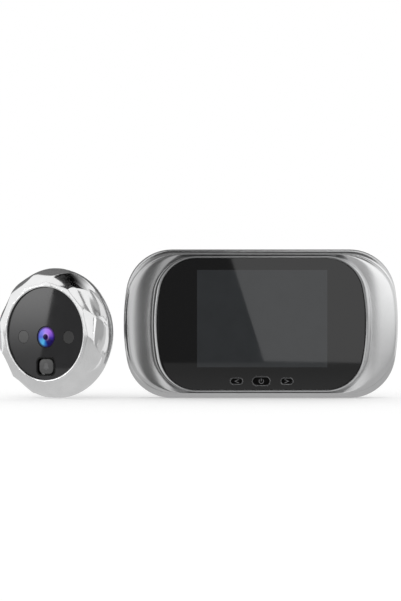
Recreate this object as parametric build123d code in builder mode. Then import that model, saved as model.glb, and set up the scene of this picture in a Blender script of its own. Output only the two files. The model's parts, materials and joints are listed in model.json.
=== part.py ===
from build123d import *
from math import atan2, cos, degrees, radians, sin, sqrt
import os

os.makedirs("parts", exist_ok=True)

# A peephole door camera: the indoor screen unit with its door bracket, and the outdoor camera
# unit beside it, both standing on one surface.
# Millimetres. Z is up, the fronts face -Y and the door is the plane y = 0. The origin is the middle
# of the door bracket's back. A level is a distance in front of the door, and a depth is a distance
# behind the front edge of the outdoor unit.

# Values shared by both units
overrun = 1.0  # how far a cut runs past the faces it opens
fit_gap = 0.2  # between moulded pieces that fit into each other
slip_gap = 0.1  # between turned or moulded pieces that slide or drop in
touch_gap = 0.05  # between a thread or a pad and what it grips
button_travel = 0.3
switch_gap = 0.35  # from a button's foot to its switch at rest
adhesive_thickness = 0.3
window_glass_thickness = 1.5
board_thickness = 1.2
plunger_radius = 0.9
plunger_height = 0.3
screw_radius = 1.0
screw_head_radius = 1.75
screw_head_height = 1.3
screw_length = 8.0

# Case of the indoor unit: outline, walls and the levels of its edges
case_half_width = 62.5
case_half_height = 33.9
case_corner_radius = 21.0
case_side_radius = 103.0
case_wall = 1.8
case_back_round = 2.2
door_gap = 0.4
case_straight_level = 12.0
seam_level = 15.0
seam_side_inset = 0.4
seam_top_inset = 2.2
seam_corner_radius = 23.0
seam_side_radius = 84.0
seam_gap = 0.25
lip_wall = 1.5

# Front of the indoor unit: fascia, trim ring and glass
wing_width = 15.0  # from the case's side to the glass
glass_top_inset = 3.8  # from the case's top to the glass
glass_corner_radius = 17.0
glass_side_radius = 84.0
glass_front_level = 19.2
glass_edge_bevel = 0.2
trim_side_width = 2.4
trim_top_width = 0.8
trim_corner_radius = 19.5
trim_side_radius = 100.0
trim_foot_level = 17.0
trim_crest_level = 19.8
trim_wall_inset = 0.3
trim_crest_share = 0.45
wing_crest_level = 17.8
fascia_floor_thickness = 1.6
tongue_wall = 1.2
tongue_length = 1.6

# Across the wing from the seam to the trim, and up from the fascia's edge to the wing's crest
wing_rise_shares = [(0.0, 0.0), (0.03, 0.42), (0.1, 0.75), (0.22, 0.94), (0.38, 1.0)]
wing_fall_shares = [(0.38, 1.0), (0.7, 0.87)]

# Display: margins from the glass's edges to the visible picture, then the panel and its tray
display_left_margin = 18.4
display_right_margin = 17.6
display_top_margin = 5.65
display_bottom_margin = 10.45
panel_side_border = 4.1
panel_top_border = 2.05
panel_thickness = 1.2
backlight_wall = 0.9
backlight_floor = 1.3
backlight_rim = 0.8
flex_width = 22.0
flex_thickness = 0.2
flex_reach = 3.0

# Main board and the cable socket on it
board_end_gap = 8.0
board_corner_radius = 6.0
socket_width = 9.0
socket_height = 5.0
socket_depth = 3.0
socket_wall = 0.8
cable_window_width = 12.0
cable_window_height = 8.0
cable_window_z = 9.0
board_post_side_distance = 8.2
board_post_end_distance = 13.2
board_post_radius = 1.9

# Buttons under the display: x of the middle, width and height of the bright rim
button_edge_distance = 4.2  # from the glass's lower edge to the buttons' middles
previous_button_x = -11.2
power_button_x = 0.0
next_button_x = 11.6
small_rim_width = 5.8
small_rim_height = 3.1
power_rim_width = 8.3
power_rim_height = 4.2
rim_wall = 0.4
rim_proud = 0.15
button_gap = 0.15
button_proud = 0.45
button_flange = 0.7
button_flange_thickness = 0.5
switch_width = 4.5
switch_height = 1.6
button_board_half_height = 3.2
button_board_end = 3.4
button_board_post_radius = 1.6

# Batteries and their bay
cell_radius = 5.25
cell_nub_radius = 1.9
cell_nub_height = 0.8
cell_spacing = 10.8
cell_count = 3
bay_centre_x = -39.0
bay_end_distance = 9.55  # from the case's top to the bay's end
bay_wall = 0.9
spring_room = 3.4
contact_thickness = 0.4
contact_width = 7.0
cover_thickness = 1.2
cover_margin = 1.2
cover_corner_radius = 6.0
cover_rib_height = 1.4
cover_rib_width = 1.2
cover_rib_length = 20.0
thumb_groove_width = 12.0
thumb_groove_depth = 0.5
thumb_groove_height = 0.8
thumb_groove_spacing = 1.8
thumb_groove_count = 5

# Case screws and their bosses
boss_radius = 2.0
post_radius = 2.4
post_meet_level = 9.0
screw_seat_level = 5.0
right_screw_side_distance = 12.5
right_screw_top_distance = 14.9

# Speaker
speaker_x = 38.0
speaker_radius = 11.5
speaker_rim = 1.6
speaker_depth = 4.6
speaker_plate = 0.6
magnet_radius = 6.2
magnet_depth = 2.4
speaker_gasket_thickness = 0.5
speaker_wall = 1.0
speaker_wall_height = 3.0
cone_thickness = 0.3
grille_hole_radius = 0.8
grille_ring_spacing = 3.1
grille_ring_count = 2

# Door bracket
bracket_half_width = 19.0
bracket_end_distance = 10.9  # from the case's top to the bracket's
bracket_corner_radius = 4.0
bracket_thickness = 1.2
bracket_play = 0.3
recess_margin = 0.5
hook_x = 12.5
hook_end_distance = 7.0
hook_width = 5.0
hook_arm_height = 1.5
hook_tip_height = 4.0
hook_tip_thickness = 1.2
unhook_travel = 4.3
bracket_slot_x = 13.0
bracket_slot_length = 8.0
bracket_slot_radius = 1.8

# Outdoor unit: place, yaw to the side and swirled body
outdoor_x = -98.0
outdoor_front_level = 22.0
outdoor_yaw = 31.0
swirl_sides = 12
swirl_turn = 28.0
girdle_radius = 29.6
body_depth = 13.7
# Shares of the body's depth, of the girdle's radius and of the whole turn
swirl_shares = [
    (0.0, 0.787, 0.0),
    (0.12, 0.896, 0.28),
    (0.33, 0.968, 0.55),
    (0.6, 1.0, 0.86),
    (0.81, 0.992, 1.07),
    (1.0, 0.957, 1.25),
]

# Outdoor unit: front window, ledge and inside
window_radius = 21.0
window_depth = 1.2
window_bevel = 1.3
ledge_hole_radius = 18.5
ledge_thickness = 1.2
outdoor_cavity_radius = 24.0
board_ring_width = 1.7
board_ring_height = 1.8
outdoor_post_radius = 2.6
outdoor_post_distance = 20.3
outdoor_screw_length = 6.0
rear_cover_thickness = 1.7
cover_ring_radius = 17.2
cover_ring_wall = 1.4

# Outdoor unit: lens, lamps and bell button
lens_drop = 1.6
lens_radius = 4.9
lens_front_depth = 1.5
lens_collar_height = 1.9
lens_thread_radius = 4.1
lens_length = 3.9
front_element_radius = 4.45
front_element_edge = 1.05
front_element_dome = 0.55
lens_bore_radius = 3.0
inner_element_depth = 3.7
inner_element_thickness = 0.9
holder_half_width = 5.0
holder_height = 1.8
sensor_width = 5.0
sensor_height = 4.0
sensor_thickness = 0.45
lamp_x = 12.4
lamp_window_radius = 2.95
lamp_radius = 1.9
lamp_height = 2.9
lamp_base_radius = 2.4
lamp_base_height = 0.7
bell_drop = 14.9
bell_pocket_width = 10.7
bell_pocket_height = 8.6
bell_pocket_corner = 2.6
bell_bezel_wall = 0.5
bell_bezel_floor = 0.6
bell_cap_gap = 0.6
bell_cap_thickness = 1.4
bell_cap_depth = 1.5
bell_stem_radius = 1.4
bell_switch_width = 4.5
bell_switch_height = 0.9

# Outdoor unit: stem through the door, its nut and the seal
stem_radius = 5.0
stem_bore_radius = 3.6
stem_end_depth = 46.5
stem_flange_radius = 7.0
stem_flange_thickness = 0.8
stem_end_bevel = 0.6
nut_flat_radius = 7.0
nut_thickness = 2.4
nut_stand = 0.4
seal_radius = 22.0
seal_inner_radius = 7.4
seal_thickness = 1.0
outdoor_socket_width = 5.0
outdoor_socket_height = 3.0
outdoor_socket_depth = 1.5

# Levels that follow from the sizes of the indoor unit
case_floor_level = door_gap + case_wall
fascia_edge_level = seam_level + seam_gap
glass_back_level = glass_front_level - window_glass_thickness
seat_level = glass_back_level - adhesive_thickness
fascia_floor_level = seat_level - fascia_floor_thickness
backlight_level = seat_level - panel_thickness - backlight_floor
board_level = backlight_level - board_thickness
cell_level = door_gap + cover_thickness + slip_gap + fit_gap + cell_radius
bay_floor_level = cell_level + cell_radius + fit_gap
bay_front_level = board_level - fit_gap
button_foot_level = fascia_floor_level - slip_gap - button_flange_thickness
button_board_front = button_foot_level - switch_gap - plunger_height - switch_height
button_board_level = button_board_front - board_thickness
recess_level = bracket_thickness + bracket_play
recess_inner_level = recess_level + lip_wall
hook_tip_level = recess_inner_level + bracket_play

# Sizes that follow from the case and the glass
glass_half_width = case_half_width - wing_width
glass_half_height = case_half_height - glass_top_inset
display_view_width = 2 * glass_half_width - display_left_margin - display_right_margin
display_view_height = 2 * glass_half_height - display_top_margin - display_bottom_margin
display_shift_x = (display_left_margin - display_right_margin) / 2
display_shift_z = (display_bottom_margin - display_top_margin) / 2
button_z = button_edge_distance - glass_half_height
bracket_half_height = case_half_height - bracket_end_distance
hook_z = bracket_half_height - hook_end_distance
right_screw_x = case_half_width - right_screw_side_distance
right_screw_z = case_half_height - right_screw_top_distance
bay_half_length = case_half_height - bay_end_distance
cell_length = 2 * (bay_half_length - contact_thickness) - spring_room

# Outlines: half width, half height, corner radius and side radius
case_outline = (case_half_width, case_half_height, case_corner_radius, case_side_radius)
seam_outline = (
    case_half_width - seam_side_inset,
    case_half_height - seam_top_inset,
    seam_corner_radius,
    seam_side_radius,
)
glass_outline = (glass_half_width, glass_half_height, glass_corner_radius, glass_side_radius)
trim_outline = (
    glass_half_width + trim_side_width,
    glass_half_height + trim_top_width,
    trim_corner_radius,
    trim_side_radius,
)


def inset(outline, distance):
    """The parallel outline that lies a distance inside the given one."""
    return tuple(size - distance for size in outline)


def blend(outline, other, share):
    """The outline at a share of the way from one outline to another."""
    return tuple(size + (target - size) * share for size, target in zip(outline, other))


def pillow(outline):
    """Closed section with a straight top and bottom, round corners and bulged sides."""
    half_width, half_height, corner, bulge = outline
    rise = half_height - corner
    run = sqrt((bulge - corner) ** 2 - rise**2)
    turn = degrees(atan2(rise, run))
    flat = half_width - bulge + run
    with BuildSketch() as section:
        with BuildLine():
            Line((-flat, half_height), (flat, half_height))
            CenterArc((flat, rise), corner, 90, turn - 90)
            CenterArc((half_width - bulge, 0), bulge, turn, -2 * turn)
            CenterArc((flat, -rise), corner, -turn, turn - 90)
            Line((flat, -half_height), (-flat, -half_height))
            CenterArc((-flat, -rise), corner, -90, turn - 90)
            CenterArc((bulge - half_width, 0), bulge, 180 + turn, -2 * turn)
            CenterArc((-flat, rise), corner, 180 - turn, turn - 90)
        make_face()
    return section.sketch


def level_plane(level):
    """The plane a level in front of the door, seen from the front with +X to the right."""
    return Plane.XZ.offset(level)


# Places that several pieces share
tongue_outline = inset(seam_outline, lip_wall + fit_gap)
left_screw_z = tongue_outline[1] - boss_radius
screw_places = [
    (bay_centre_x, left_screw_z),
    (bay_centre_x, -left_screw_z),
    (right_screw_x, right_screw_z),
    (right_screw_x, -right_screw_z),
]
screw_tip_level = screw_seat_level + screw_length
display_place = (display_shift_x, display_shift_z)
board_half_width = tongue_outline[0] - tongue_wall - board_end_gap
board_half_height = left_screw_z - boss_radius - 4 * fit_gap
board_post_x = board_half_width - board_post_side_distance
board_post_z = board_half_height - board_post_end_distance
panel_width = display_view_width + 2 * panel_side_border
panel_height = display_view_height + 2 * panel_top_border
module_width = panel_width + 2 * (slip_gap + backlight_wall)
module_height = panel_height + 2 * (slip_gap + backlight_wall)
button_places = {
    "previous": (previous_button_x, small_rim_width, small_rim_height),
    "power": (power_button_x, power_rim_width, power_rim_height),
    "next": (next_button_x, small_rim_width, small_rim_height),
}
button_board_half_width = (next_button_x - previous_button_x + switch_width) / 2 + button_board_end
button_board_x = (next_button_x + previous_button_x) / 2
button_board_post_x = button_board_half_width - button_board_post_radius
bay_half_width = (cell_spacing * (cell_count - 1)) / 2 + cell_radius + fit_gap
hook_places = [(x, z) for x in (-hook_x, hook_x) for z in (-hook_z, hook_z)]
hook_slot_height = hook_arm_height + unhook_travel + 2 * slip_gap
grille_places = [(speaker_x, 0)]
for ring in range(1, grille_ring_count + 1):
    for hole in range(6 * ring):
        angle = radians(60 * hole / ring)
        reach = ring * grille_ring_spacing
        grille_places.append((speaker_x + reach * cos(angle), reach * sin(angle)))

# Rear housing: the bowl of the indoor unit, with the battery bay, the bracket's recess and hook
# slots, the speaker's grille and the screw posts
case_sections = []
for step in range(4):
    angle = radians(30 * step)
    case_sections.append(
        (
            door_gap + case_back_round * (1 - cos(angle)),
            inset(case_outline, case_back_round * (1 - sin(angle))),
        )
    )
for step in range(4):
    angle = radians(30 * step)
    case_sections.append(
        (
            case_straight_level + (seam_level - case_straight_level) * sin(angle),
            blend(case_outline, seam_outline, 1 - cos(angle)),
        )
    )

with BuildPart() as rear_housing:
    for level, outline in case_sections:
        with BuildSketch(level_plane(level)):
            add(pillow(outline))
    loft(ruled=True)
    with BuildSketch(level_plane(case_floor_level)):
        add(pillow(inset(case_outline, case_wall)))
    extrude(amount=case_straight_level - case_floor_level, mode=Mode.SUBTRACT)
    with BuildSketch(level_plane(case_straight_level)):
        add(pillow(inset(case_outline, case_wall)))
    with BuildSketch(level_plane(seam_level)):
        add(pillow(inset(seam_outline, lip_wall)))
    loft(ruled=True, mode=Mode.SUBTRACT)
    # Floor under the bracket's recess and walls round the battery bay
    with BuildSketch(level_plane(door_gap)):
        with Locations((0, -unhook_travel / 2)):
            Rectangle(
                2 * (bracket_half_width + recess_margin + lip_wall),
                2 * (bracket_half_height + recess_margin + lip_wall) + unhook_travel,
            )
    extrude(amount=recess_inner_level - door_gap)
    with BuildSketch(level_plane(case_floor_level)):
        with Locations((bay_centre_x, 0)):
            Rectangle(2 * (bay_half_width + bay_wall), 2 * (bay_half_length + bay_wall))
    extrude(amount=bay_front_level - case_floor_level)
    # Posts for the case screws and for the button board, and the ring that holds the speaker
    with BuildSketch(level_plane(case_floor_level)):
        with Locations(*screw_places):
            Circle(post_radius)
    extrude(amount=post_meet_level - case_floor_level)
    with BuildSketch(level_plane(case_floor_level)):
        with Locations((button_board_x, button_z)):
            with GridLocations(2 * button_board_post_x, 0, 2, 1):
                Circle(button_board_post_radius)
    extrude(amount=button_board_level - case_floor_level)
    with BuildSketch(level_plane(case_floor_level)):
        with Locations((speaker_x, 0)):
            Circle(speaker_radius + fit_gap + speaker_wall)
            Circle(speaker_radius + fit_gap, mode=Mode.SUBTRACT)
    extrude(amount=speaker_wall_height)
    # Bracket recess, open below the bracket by its unhooking travel
    with BuildSketch(level_plane(recess_level)):
        with Locations((0, -unhook_travel / 2)):
            RectangleRounded(
                2 * (bracket_half_width + recess_margin),
                2 * (bracket_half_height + recess_margin) + unhook_travel,
                bracket_corner_radius + recess_margin,
            )
    extrude(amount=-recess_level - overrun, mode=Mode.SUBTRACT)
    with BuildSketch(level_plane(recess_level - overrun)):
        for x, z in hook_places:
            with Locations((x, z + hook_arm_height / 2 + slip_gap - hook_slot_height / 2)):
                Rectangle(hook_width + 2 * bracket_play, hook_slot_height)
        with Locations((0, cable_window_z)):
            Rectangle(cable_window_width, cable_window_height)
    extrude(amount=recess_inner_level - recess_level + 2 * overrun, mode=Mode.SUBTRACT)
    # Battery bay and the rebate of its cover
    with BuildSketch(level_plane(bay_floor_level)):
        with Locations((bay_centre_x, 0)):
            Rectangle(2 * bay_half_width, 2 * bay_half_length)
    extrude(amount=-bay_floor_level - overrun, mode=Mode.SUBTRACT)
    with BuildSketch(level_plane(door_gap + cover_thickness + slip_gap)):
        with Locations((bay_centre_x, 0)):
            RectangleRounded(
                2 * (bay_half_width + cover_margin),
                2 * (bay_half_length + cover_margin),
                cover_corner_radius,
            )
    extrude(amount=-cover_thickness - slip_gap - overrun, mode=Mode.SUBTRACT)
    # Screw holes from the back
    with BuildSketch(level_plane(screw_seat_level)):
        with Locations(*screw_places):
            Circle(screw_head_radius + slip_gap)
    extrude(amount=-screw_seat_level - overrun, mode=Mode.SUBTRACT)
    with BuildSketch(level_plane(screw_seat_level)):
        with Locations(*screw_places):
            Circle(screw_radius + slip_gap)
    extrude(amount=post_meet_level - screw_seat_level + overrun, mode=Mode.SUBTRACT)
    # Speaker grille: a middle hole and rings of holes round it
    with BuildSketch(level_plane(case_floor_level + overrun)):
        with Locations(*grille_places):
            Circle(grille_hole_radius)
    extrude(amount=-case_wall - 2 * overrun, mode=Mode.SUBTRACT)
rear_housing.part.label = "rear_housing"
export_step(rear_housing.part, "parts/rear_housing.step")

# Front fascia: pillow wings at both sides, a valley for the trim ring, a raised seat for the
# glass, a window for the display, holes for the buttons and bosses behind
fascia_rise = wing_crest_level - fascia_edge_level
with BuildPart() as front_fascia:
    for across, up in wing_rise_shares:
        with BuildSketch(level_plane(fascia_edge_level + fascia_rise * up)):
            add(pillow(blend(seam_outline, trim_outline, across)))
    loft(ruled=True)
    for across, up in wing_fall_shares:
        with BuildSketch(level_plane(fascia_edge_level + fascia_rise * up)):
            add(pillow(blend(seam_outline, trim_outline, across)))
    with BuildSketch(level_plane(trim_foot_level)):
        add(pillow(trim_outline))
    loft(ruled=True, mode=Mode.SUBTRACT)
    with BuildSketch(level_plane(trim_foot_level)):
        add(pillow(inset(glass_outline, slip_gap)))
    extrude(amount=seat_level - trim_foot_level)
    # Tongue that drops into the rear housing, and the hollow behind the face
    with BuildSketch(level_plane(fascia_edge_level - tongue_length)):
        add(pillow(tongue_outline))
    extrude(amount=tongue_length)
    with BuildSketch(level_plane(fascia_edge_level - tongue_length)):
        add(pillow(inset(tongue_outline, tongue_wall)))
    extrude(amount=fascia_floor_level - fascia_edge_level + tongue_length, mode=Mode.SUBTRACT)
    with BuildSketch(level_plane(post_meet_level)):
        with Locations(*screw_places):
            Circle(boss_radius)
    extrude(amount=fascia_floor_level - post_meet_level)
    with BuildSketch(level_plane(board_level + board_thickness)):
        with GridLocations(2 * board_post_x, 2 * board_post_z, 2, 2):
            Circle(board_post_radius)
    extrude(amount=fascia_floor_level - board_level - board_thickness)
    # Display window, button holes and pilot holes
    with BuildSketch(level_plane(fascia_floor_level - overrun)):
        with Locations(display_place):
            Rectangle(module_width + 2 * fit_gap, module_height + 2 * fit_gap)
        with Locations((display_shift_x + module_width / 2, display_shift_z)):
            Rectangle(2 * flex_reach, flex_width + 2 * fit_gap)
        for x, width, height in button_places.values():
            with Locations((x, button_z)):
                SlotOverall(width - 2 * rim_wall, height - 2 * rim_wall)
    extrude(amount=fascia_floor_thickness + 2 * overrun, mode=Mode.SUBTRACT)
    with BuildSketch(level_plane(post_meet_level)):
        with Locations(*screw_places):
            Circle(screw_radius + touch_gap)
    extrude(amount=screw_tip_level - post_meet_level + touch_gap, mode=Mode.SUBTRACT)
    with BuildSketch(level_plane(board_level + board_thickness)):
        with GridLocations(2 * board_post_x, 2 * board_post_z, 2, 2):
            Circle(screw_radius + touch_gap)
    extrude(amount=fascia_floor_level - board_level, mode=Mode.SUBTRACT)
front_fascia.part.label = "front_fascia"
export_step(front_fascia.part, "parts/front_fascia.step")

# Trim ring: the bright frame round the glass, wide at the sides and thin above and below
trim_crest_outline = blend(trim_outline, glass_outline, trim_crest_share)
with BuildPart() as trim_ring:
    with BuildSketch(level_plane(trim_foot_level)):
        add(pillow(trim_outline))
    with BuildSketch(level_plane(glass_front_level)):
        add(pillow(inset(trim_outline, trim_wall_inset * trim_crest_share)))
    with BuildSketch(level_plane(trim_crest_level)):
        add(pillow(trim_crest_outline))
    loft(ruled=True)
    with BuildSketch(level_plane(glass_front_level)):
        add(pillow(glass_outline))
    with BuildSketch(level_plane(trim_crest_level)):
        add(pillow(trim_crest_outline))
    loft(ruled=True, mode=Mode.SUBTRACT)
    with BuildSketch(level_plane(trim_foot_level - overrun)):
        add(pillow(glass_outline))
    extrude(amount=glass_front_level - trim_foot_level + overrun, mode=Mode.SUBTRACT)
trim_ring.part.label = "trim_ring"
export_step(trim_ring.part, "parts/trim_ring.step")

# Front glass over the display, with a hole for each button's rim
with BuildPart() as front_glass:
    with BuildSketch(level_plane(glass_back_level)):
        add(pillow(inset(glass_outline, slip_gap)))
    extrude(amount=window_glass_thickness)
    chamfer(front_glass.faces().sort_by(Axis.Y)[0].edges(), glass_edge_bevel)
    with BuildSketch(level_plane(glass_back_level - overrun)):
        for x, width, height in button_places.values():
            with Locations((x, button_z)):
                SlotOverall(width + 2 * slip_gap, height + 2 * slip_gap)
    extrude(amount=window_glass_thickness + 2 * overrun, mode=Mode.SUBTRACT)
front_glass.part.label = "front_glass"
export_step(front_glass.part, "parts/front_glass.step")

# Adhesive sheet behind the glass, open over the display and at the buttons
with BuildPart() as glass_adhesive:
    with BuildSketch(level_plane(seat_level)):
        add(pillow(inset(glass_outline, 2 * slip_gap)))
        with Locations(display_place):
            Rectangle(display_view_width, display_view_height, mode=Mode.SUBTRACT)
        for x, width, height in button_places.values():
            with Locations((x, button_z)):
                SlotOverall(width + 2 * fit_gap, height + 2 * fit_gap, mode=Mode.SUBTRACT)
    extrude(amount=adhesive_thickness)
glass_adhesive.part.label = "glass_adhesive"
export_step(glass_adhesive.part, "parts/glass_adhesive.step")

# Display: the glass panel in the metal tray of its backlight, and its flat cable
with BuildPart() as lcd_panel:
    with BuildSketch(level_plane(seat_level - panel_thickness)):
        with Locations(display_place):
            Rectangle(panel_width, panel_height)
    extrude(amount=panel_thickness)
lcd_panel.part.label = "lcd_panel"
export_step(lcd_panel.part, "parts/lcd_panel.step")

with BuildPart() as lcd_backlight:
    with BuildSketch(level_plane(backlight_level)):
        with Locations(display_place):
            Rectangle(module_width, module_height)
    extrude(amount=backlight_floor + backlight_rim)
    with BuildSketch(level_plane(backlight_level + backlight_floor)):
        with Locations(display_place):
            Rectangle(panel_width + 2 * slip_gap, panel_height + 2 * slip_gap)
        with Locations((display_shift_x + module_width / 2, display_shift_z)):
            Rectangle(2 * (backlight_wall + slip_gap), flex_width + 2 * fit_gap)
    extrude(amount=backlight_rim + overrun, mode=Mode.SUBTRACT)
lcd_backlight.part.label = "lcd_backlight"
export_step(lcd_backlight.part, "parts/lcd_backlight.step")

flex_start_x = display_shift_x + panel_width / 2 + slip_gap
flex_end_x = display_shift_x + module_width / 2 + flex_reach - fit_gap
flex_top_level = backlight_level + backlight_floor + flex_thickness + touch_gap
with BuildPart() as lcd_flex:
    with BuildSketch(Plane.XY.offset(display_shift_z - flex_width / 2)):
        with BuildLine():
            Polyline(
                (flex_start_x, -flex_top_level),
                (flex_end_x, -flex_top_level),
                (flex_end_x, -backlight_level),
                (flex_end_x - flex_thickness, -backlight_level),
                (flex_end_x - flex_thickness, flex_thickness - flex_top_level),
                (flex_start_x, flex_thickness - flex_top_level),
                close=True,
            )
        make_face()
    extrude(amount=flex_width)
lcd_flex.part.label = "lcd_flex"
export_step(lcd_flex.part, "parts/lcd_flex.step")

# Main board behind the display, notched for the bosses and the button board
notch_top_z = button_z + button_board_half_height + 2 * fit_gap
with BuildPart() as main_board:
    with BuildSketch(level_plane(board_level)):
        RectangleRounded(2 * board_half_width, 2 * board_half_height, board_corner_radius)
        with Locations(*screw_places):
            Circle(boss_radius + 2 * fit_gap, mode=Mode.SUBTRACT)
        with Locations((button_board_x, notch_top_z)):
            Rectangle(
                2 * (button_board_half_width + fit_gap),
                2 * board_half_height,
                align=(Align.CENTER, Align.MAX),
                mode=Mode.SUBTRACT,
            )
        with GridLocations(2 * board_post_x, 2 * board_post_z, 2, 2):
            Circle(screw_radius + slip_gap, mode=Mode.SUBTRACT)
    extrude(amount=board_thickness)
main_board.part.label = "main_board"
export_step(main_board.part, "parts/main_board.step")

# Socket for the outdoor unit's flat cable, reached through the window in the back
with BuildPart() as cable_socket:
    with BuildSketch(level_plane(board_level)):
        with Locations((0, cable_window_z)):
            Rectangle(socket_width, socket_height)
    extrude(amount=-socket_depth)
    with BuildSketch(level_plane(board_level - socket_depth)):
        with Locations((0, cable_window_z)):
            Rectangle(socket_width - 2 * socket_wall, socket_height - 2 * socket_wall)
    extrude(amount=socket_depth - socket_wall, mode=Mode.SUBTRACT)
cable_socket.part.label = "cable_socket"
export_step(cable_socket.part, "parts/cable_socket.step")

# Board screws on the right, where no battery bay is behind the board
with BuildPart() as board_screws:
    with BuildSketch(level_plane(board_level)):
        with Locations((board_post_x, board_post_z), (board_post_x, -board_post_z)):
            Circle(screw_radius)
    extrude(amount=fascia_floor_level - board_level)
    with BuildSketch(level_plane(board_level)):
        with Locations((board_post_x, board_post_z), (board_post_x, -board_post_z)):
            Circle(screw_head_radius)
    extrude(amount=-screw_head_height)
board_screws.part.label = "board_screws"
export_step(board_screws.part, "parts/board_screws.step")

# Button board on its two posts, with one tact switch behind each button
with BuildPart() as button_board:
    with BuildSketch(level_plane(button_board_level)):
        with Locations((button_board_x, button_z)):
            Rectangle(2 * button_board_half_width, 2 * button_board_half_height)
    extrude(amount=board_thickness)
button_board.part.label = "button_board"
export_step(button_board.part, "parts/button_board.step")

for name, (x, rim_width, rim_height) in button_places.items():
    with BuildPart() as tact_switch:
        with BuildSketch(level_plane(button_board_front)):
            with Locations((x, button_z)):
                Rectangle(switch_width, switch_width)
        extrude(amount=switch_height)
        with BuildSketch(level_plane(button_board_front + switch_height)):
            with Locations((x, button_z)):
                Circle(plunger_radius)
        extrude(amount=plunger_height)
    tact_switch.part.label = f"{name}_switch"
    export_step(tact_switch.part, f"parts/{name}_switch.step")

    # Bright rim, seated on the fascia in the glass's hole
    with BuildPart() as button_rim:
        with BuildSketch(level_plane(seat_level)):
            with Locations((x, button_z)):
                SlotOverall(rim_width, rim_height)
                SlotOverall(rim_width - 2 * rim_wall, rim_height - 2 * rim_wall, mode=Mode.SUBTRACT)
        extrude(amount=glass_front_level + rim_proud - seat_level)
    button_rim.part.label = f"{name}_button_rim"
    export_step(button_rim.part, f"parts/{name}_button_rim.step")

    # Button: a pill through the rim, a flange behind the fascia and a foot over the switch
    pill_width = rim_width - 2 * (rim_wall + button_gap)
    pill_height = rim_height - 2 * (rim_wall + button_gap)
    with BuildPart() as push_button:
        with BuildSketch(level_plane(button_foot_level)):
            with Locations((x, button_z)):
                SlotOverall(pill_width, pill_height)
        extrude(amount=glass_front_level + button_proud - button_foot_level)
        with BuildSketch(level_plane(button_foot_level)):
            with Locations((x, button_z)):
                SlotOverall(pill_width + 2 * button_flange, pill_height + 2 * button_flange)
        extrude(amount=button_flange_thickness)
        fillet(push_button.faces().sort_by(Axis.Y)[0].edges(), button_gap)
    push_button.part.label = f"{name}_button"
    export_step(push_button.part, f"parts/{name}_button.step")

# Three cells side by side, the middle one turned over, each with a spring and a plate contact
for number in range(cell_count):
    x = bay_centre_x + cell_spacing * (number - (cell_count - 1) / 2)
    nub_up = number % 2 == 0
    side = 1 if nub_up else -1
    nub_z = side * (bay_half_length - contact_thickness)
    can_length = cell_length - cell_nub_height
    with BuildPart() as battery:
        with BuildSketch(Plane.XY.offset(nub_z)):
            with Locations((x, -cell_level)):
                Circle(cell_nub_radius)
        extrude(amount=-side * cell_length)
        with BuildSketch(Plane.XY.offset(nub_z - side * cell_nub_height)):
            with Locations((x, -cell_level)):
                Circle(cell_radius)
        extrude(amount=-side * can_length)
    battery.part.label = f"battery_{number + 1}"
    export_step(battery.part, f"parts/battery_{number + 1}.step")

    with BuildPart() as plate_contact:
        with BuildSketch(Plane.XY.offset(nub_z)):
            with Locations((x, -cell_level)):
                Rectangle(contact_width, contact_width)
        extrude(amount=side * contact_thickness)
    plate_contact.part.label = f"plate_contact_{number + 1}"
    export_step(plate_contact.part, f"parts/plate_contact_{number + 1}.step")

    # Leaf spring: a strip on the bay's end wall, bent out to the flat end of the cell
    wall_z = -side * bay_half_length
    leaf_z = nub_z - side * (cell_length + touch_gap)
    with BuildPart() as spring_contact:
        with BuildSketch(Plane.YZ.offset(x - contact_width / 2)):
            with BuildLine():
                Polyline(
                    (-cell_level + contact_width / 2, wall_z),
                    (-cell_level - contact_width / 2, wall_z),
                    (-cell_level - contact_width / 2, wall_z + side * contact_thickness),
                    (-cell_level + contact_width / 4, wall_z + side * contact_thickness),
                    (-cell_level - contact_width / 4, leaf_z - side * contact_thickness),
                    (-cell_level - contact_width / 2, leaf_z - side * contact_thickness),
                    (-cell_level - contact_width / 2, leaf_z),
                    (-cell_level - contact_width / 8, leaf_z),
                    (-cell_level + contact_width / 2, wall_z + side * contact_thickness),
                    close=True,
                )
            make_face()
        extrude(amount=contact_width)
    spring_contact.part.label = f"spring_contact_{number + 1}"
    export_step(spring_contact.part, f"parts/spring_contact_{number + 1}.step")

# Battery cover in its rebate, with two ribs inside and a thumb grip of grooves outside
cover_half_width = bay_half_width + cover_margin - fit_gap
cover_half_length = bay_half_length + cover_margin - fit_gap
with BuildPart() as battery_cover:
    with BuildSketch(level_plane(door_gap)):
        with Locations((bay_centre_x, 0)):
            RectangleRounded(2 * cover_half_width, 2 * cover_half_length, cover_corner_radius - fit_gap)
    extrude(amount=cover_thickness)
    with BuildSketch(level_plane(door_gap + cover_thickness)):
        with Locations((bay_centre_x, 0)):
            with GridLocations(cell_spacing, 0, cell_count - 1, 1):
                Rectangle(cover_rib_width, cover_rib_length)
    extrude(amount=cover_rib_height)
    with BuildSketch(level_plane(door_gap + thumb_groove_depth)):
        with Locations((bay_centre_x, -cover_half_length / 2)):
            with GridLocations(0, thumb_groove_spacing, 1, thumb_groove_count):
                Rectangle(thumb_groove_width, thumb_groove_height)
    extrude(amount=-thumb_groove_depth - overrun, mode=Mode.SUBTRACT)
battery_cover.part.label = "battery_cover"
export_step(battery_cover.part, "parts/battery_cover.step")

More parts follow.
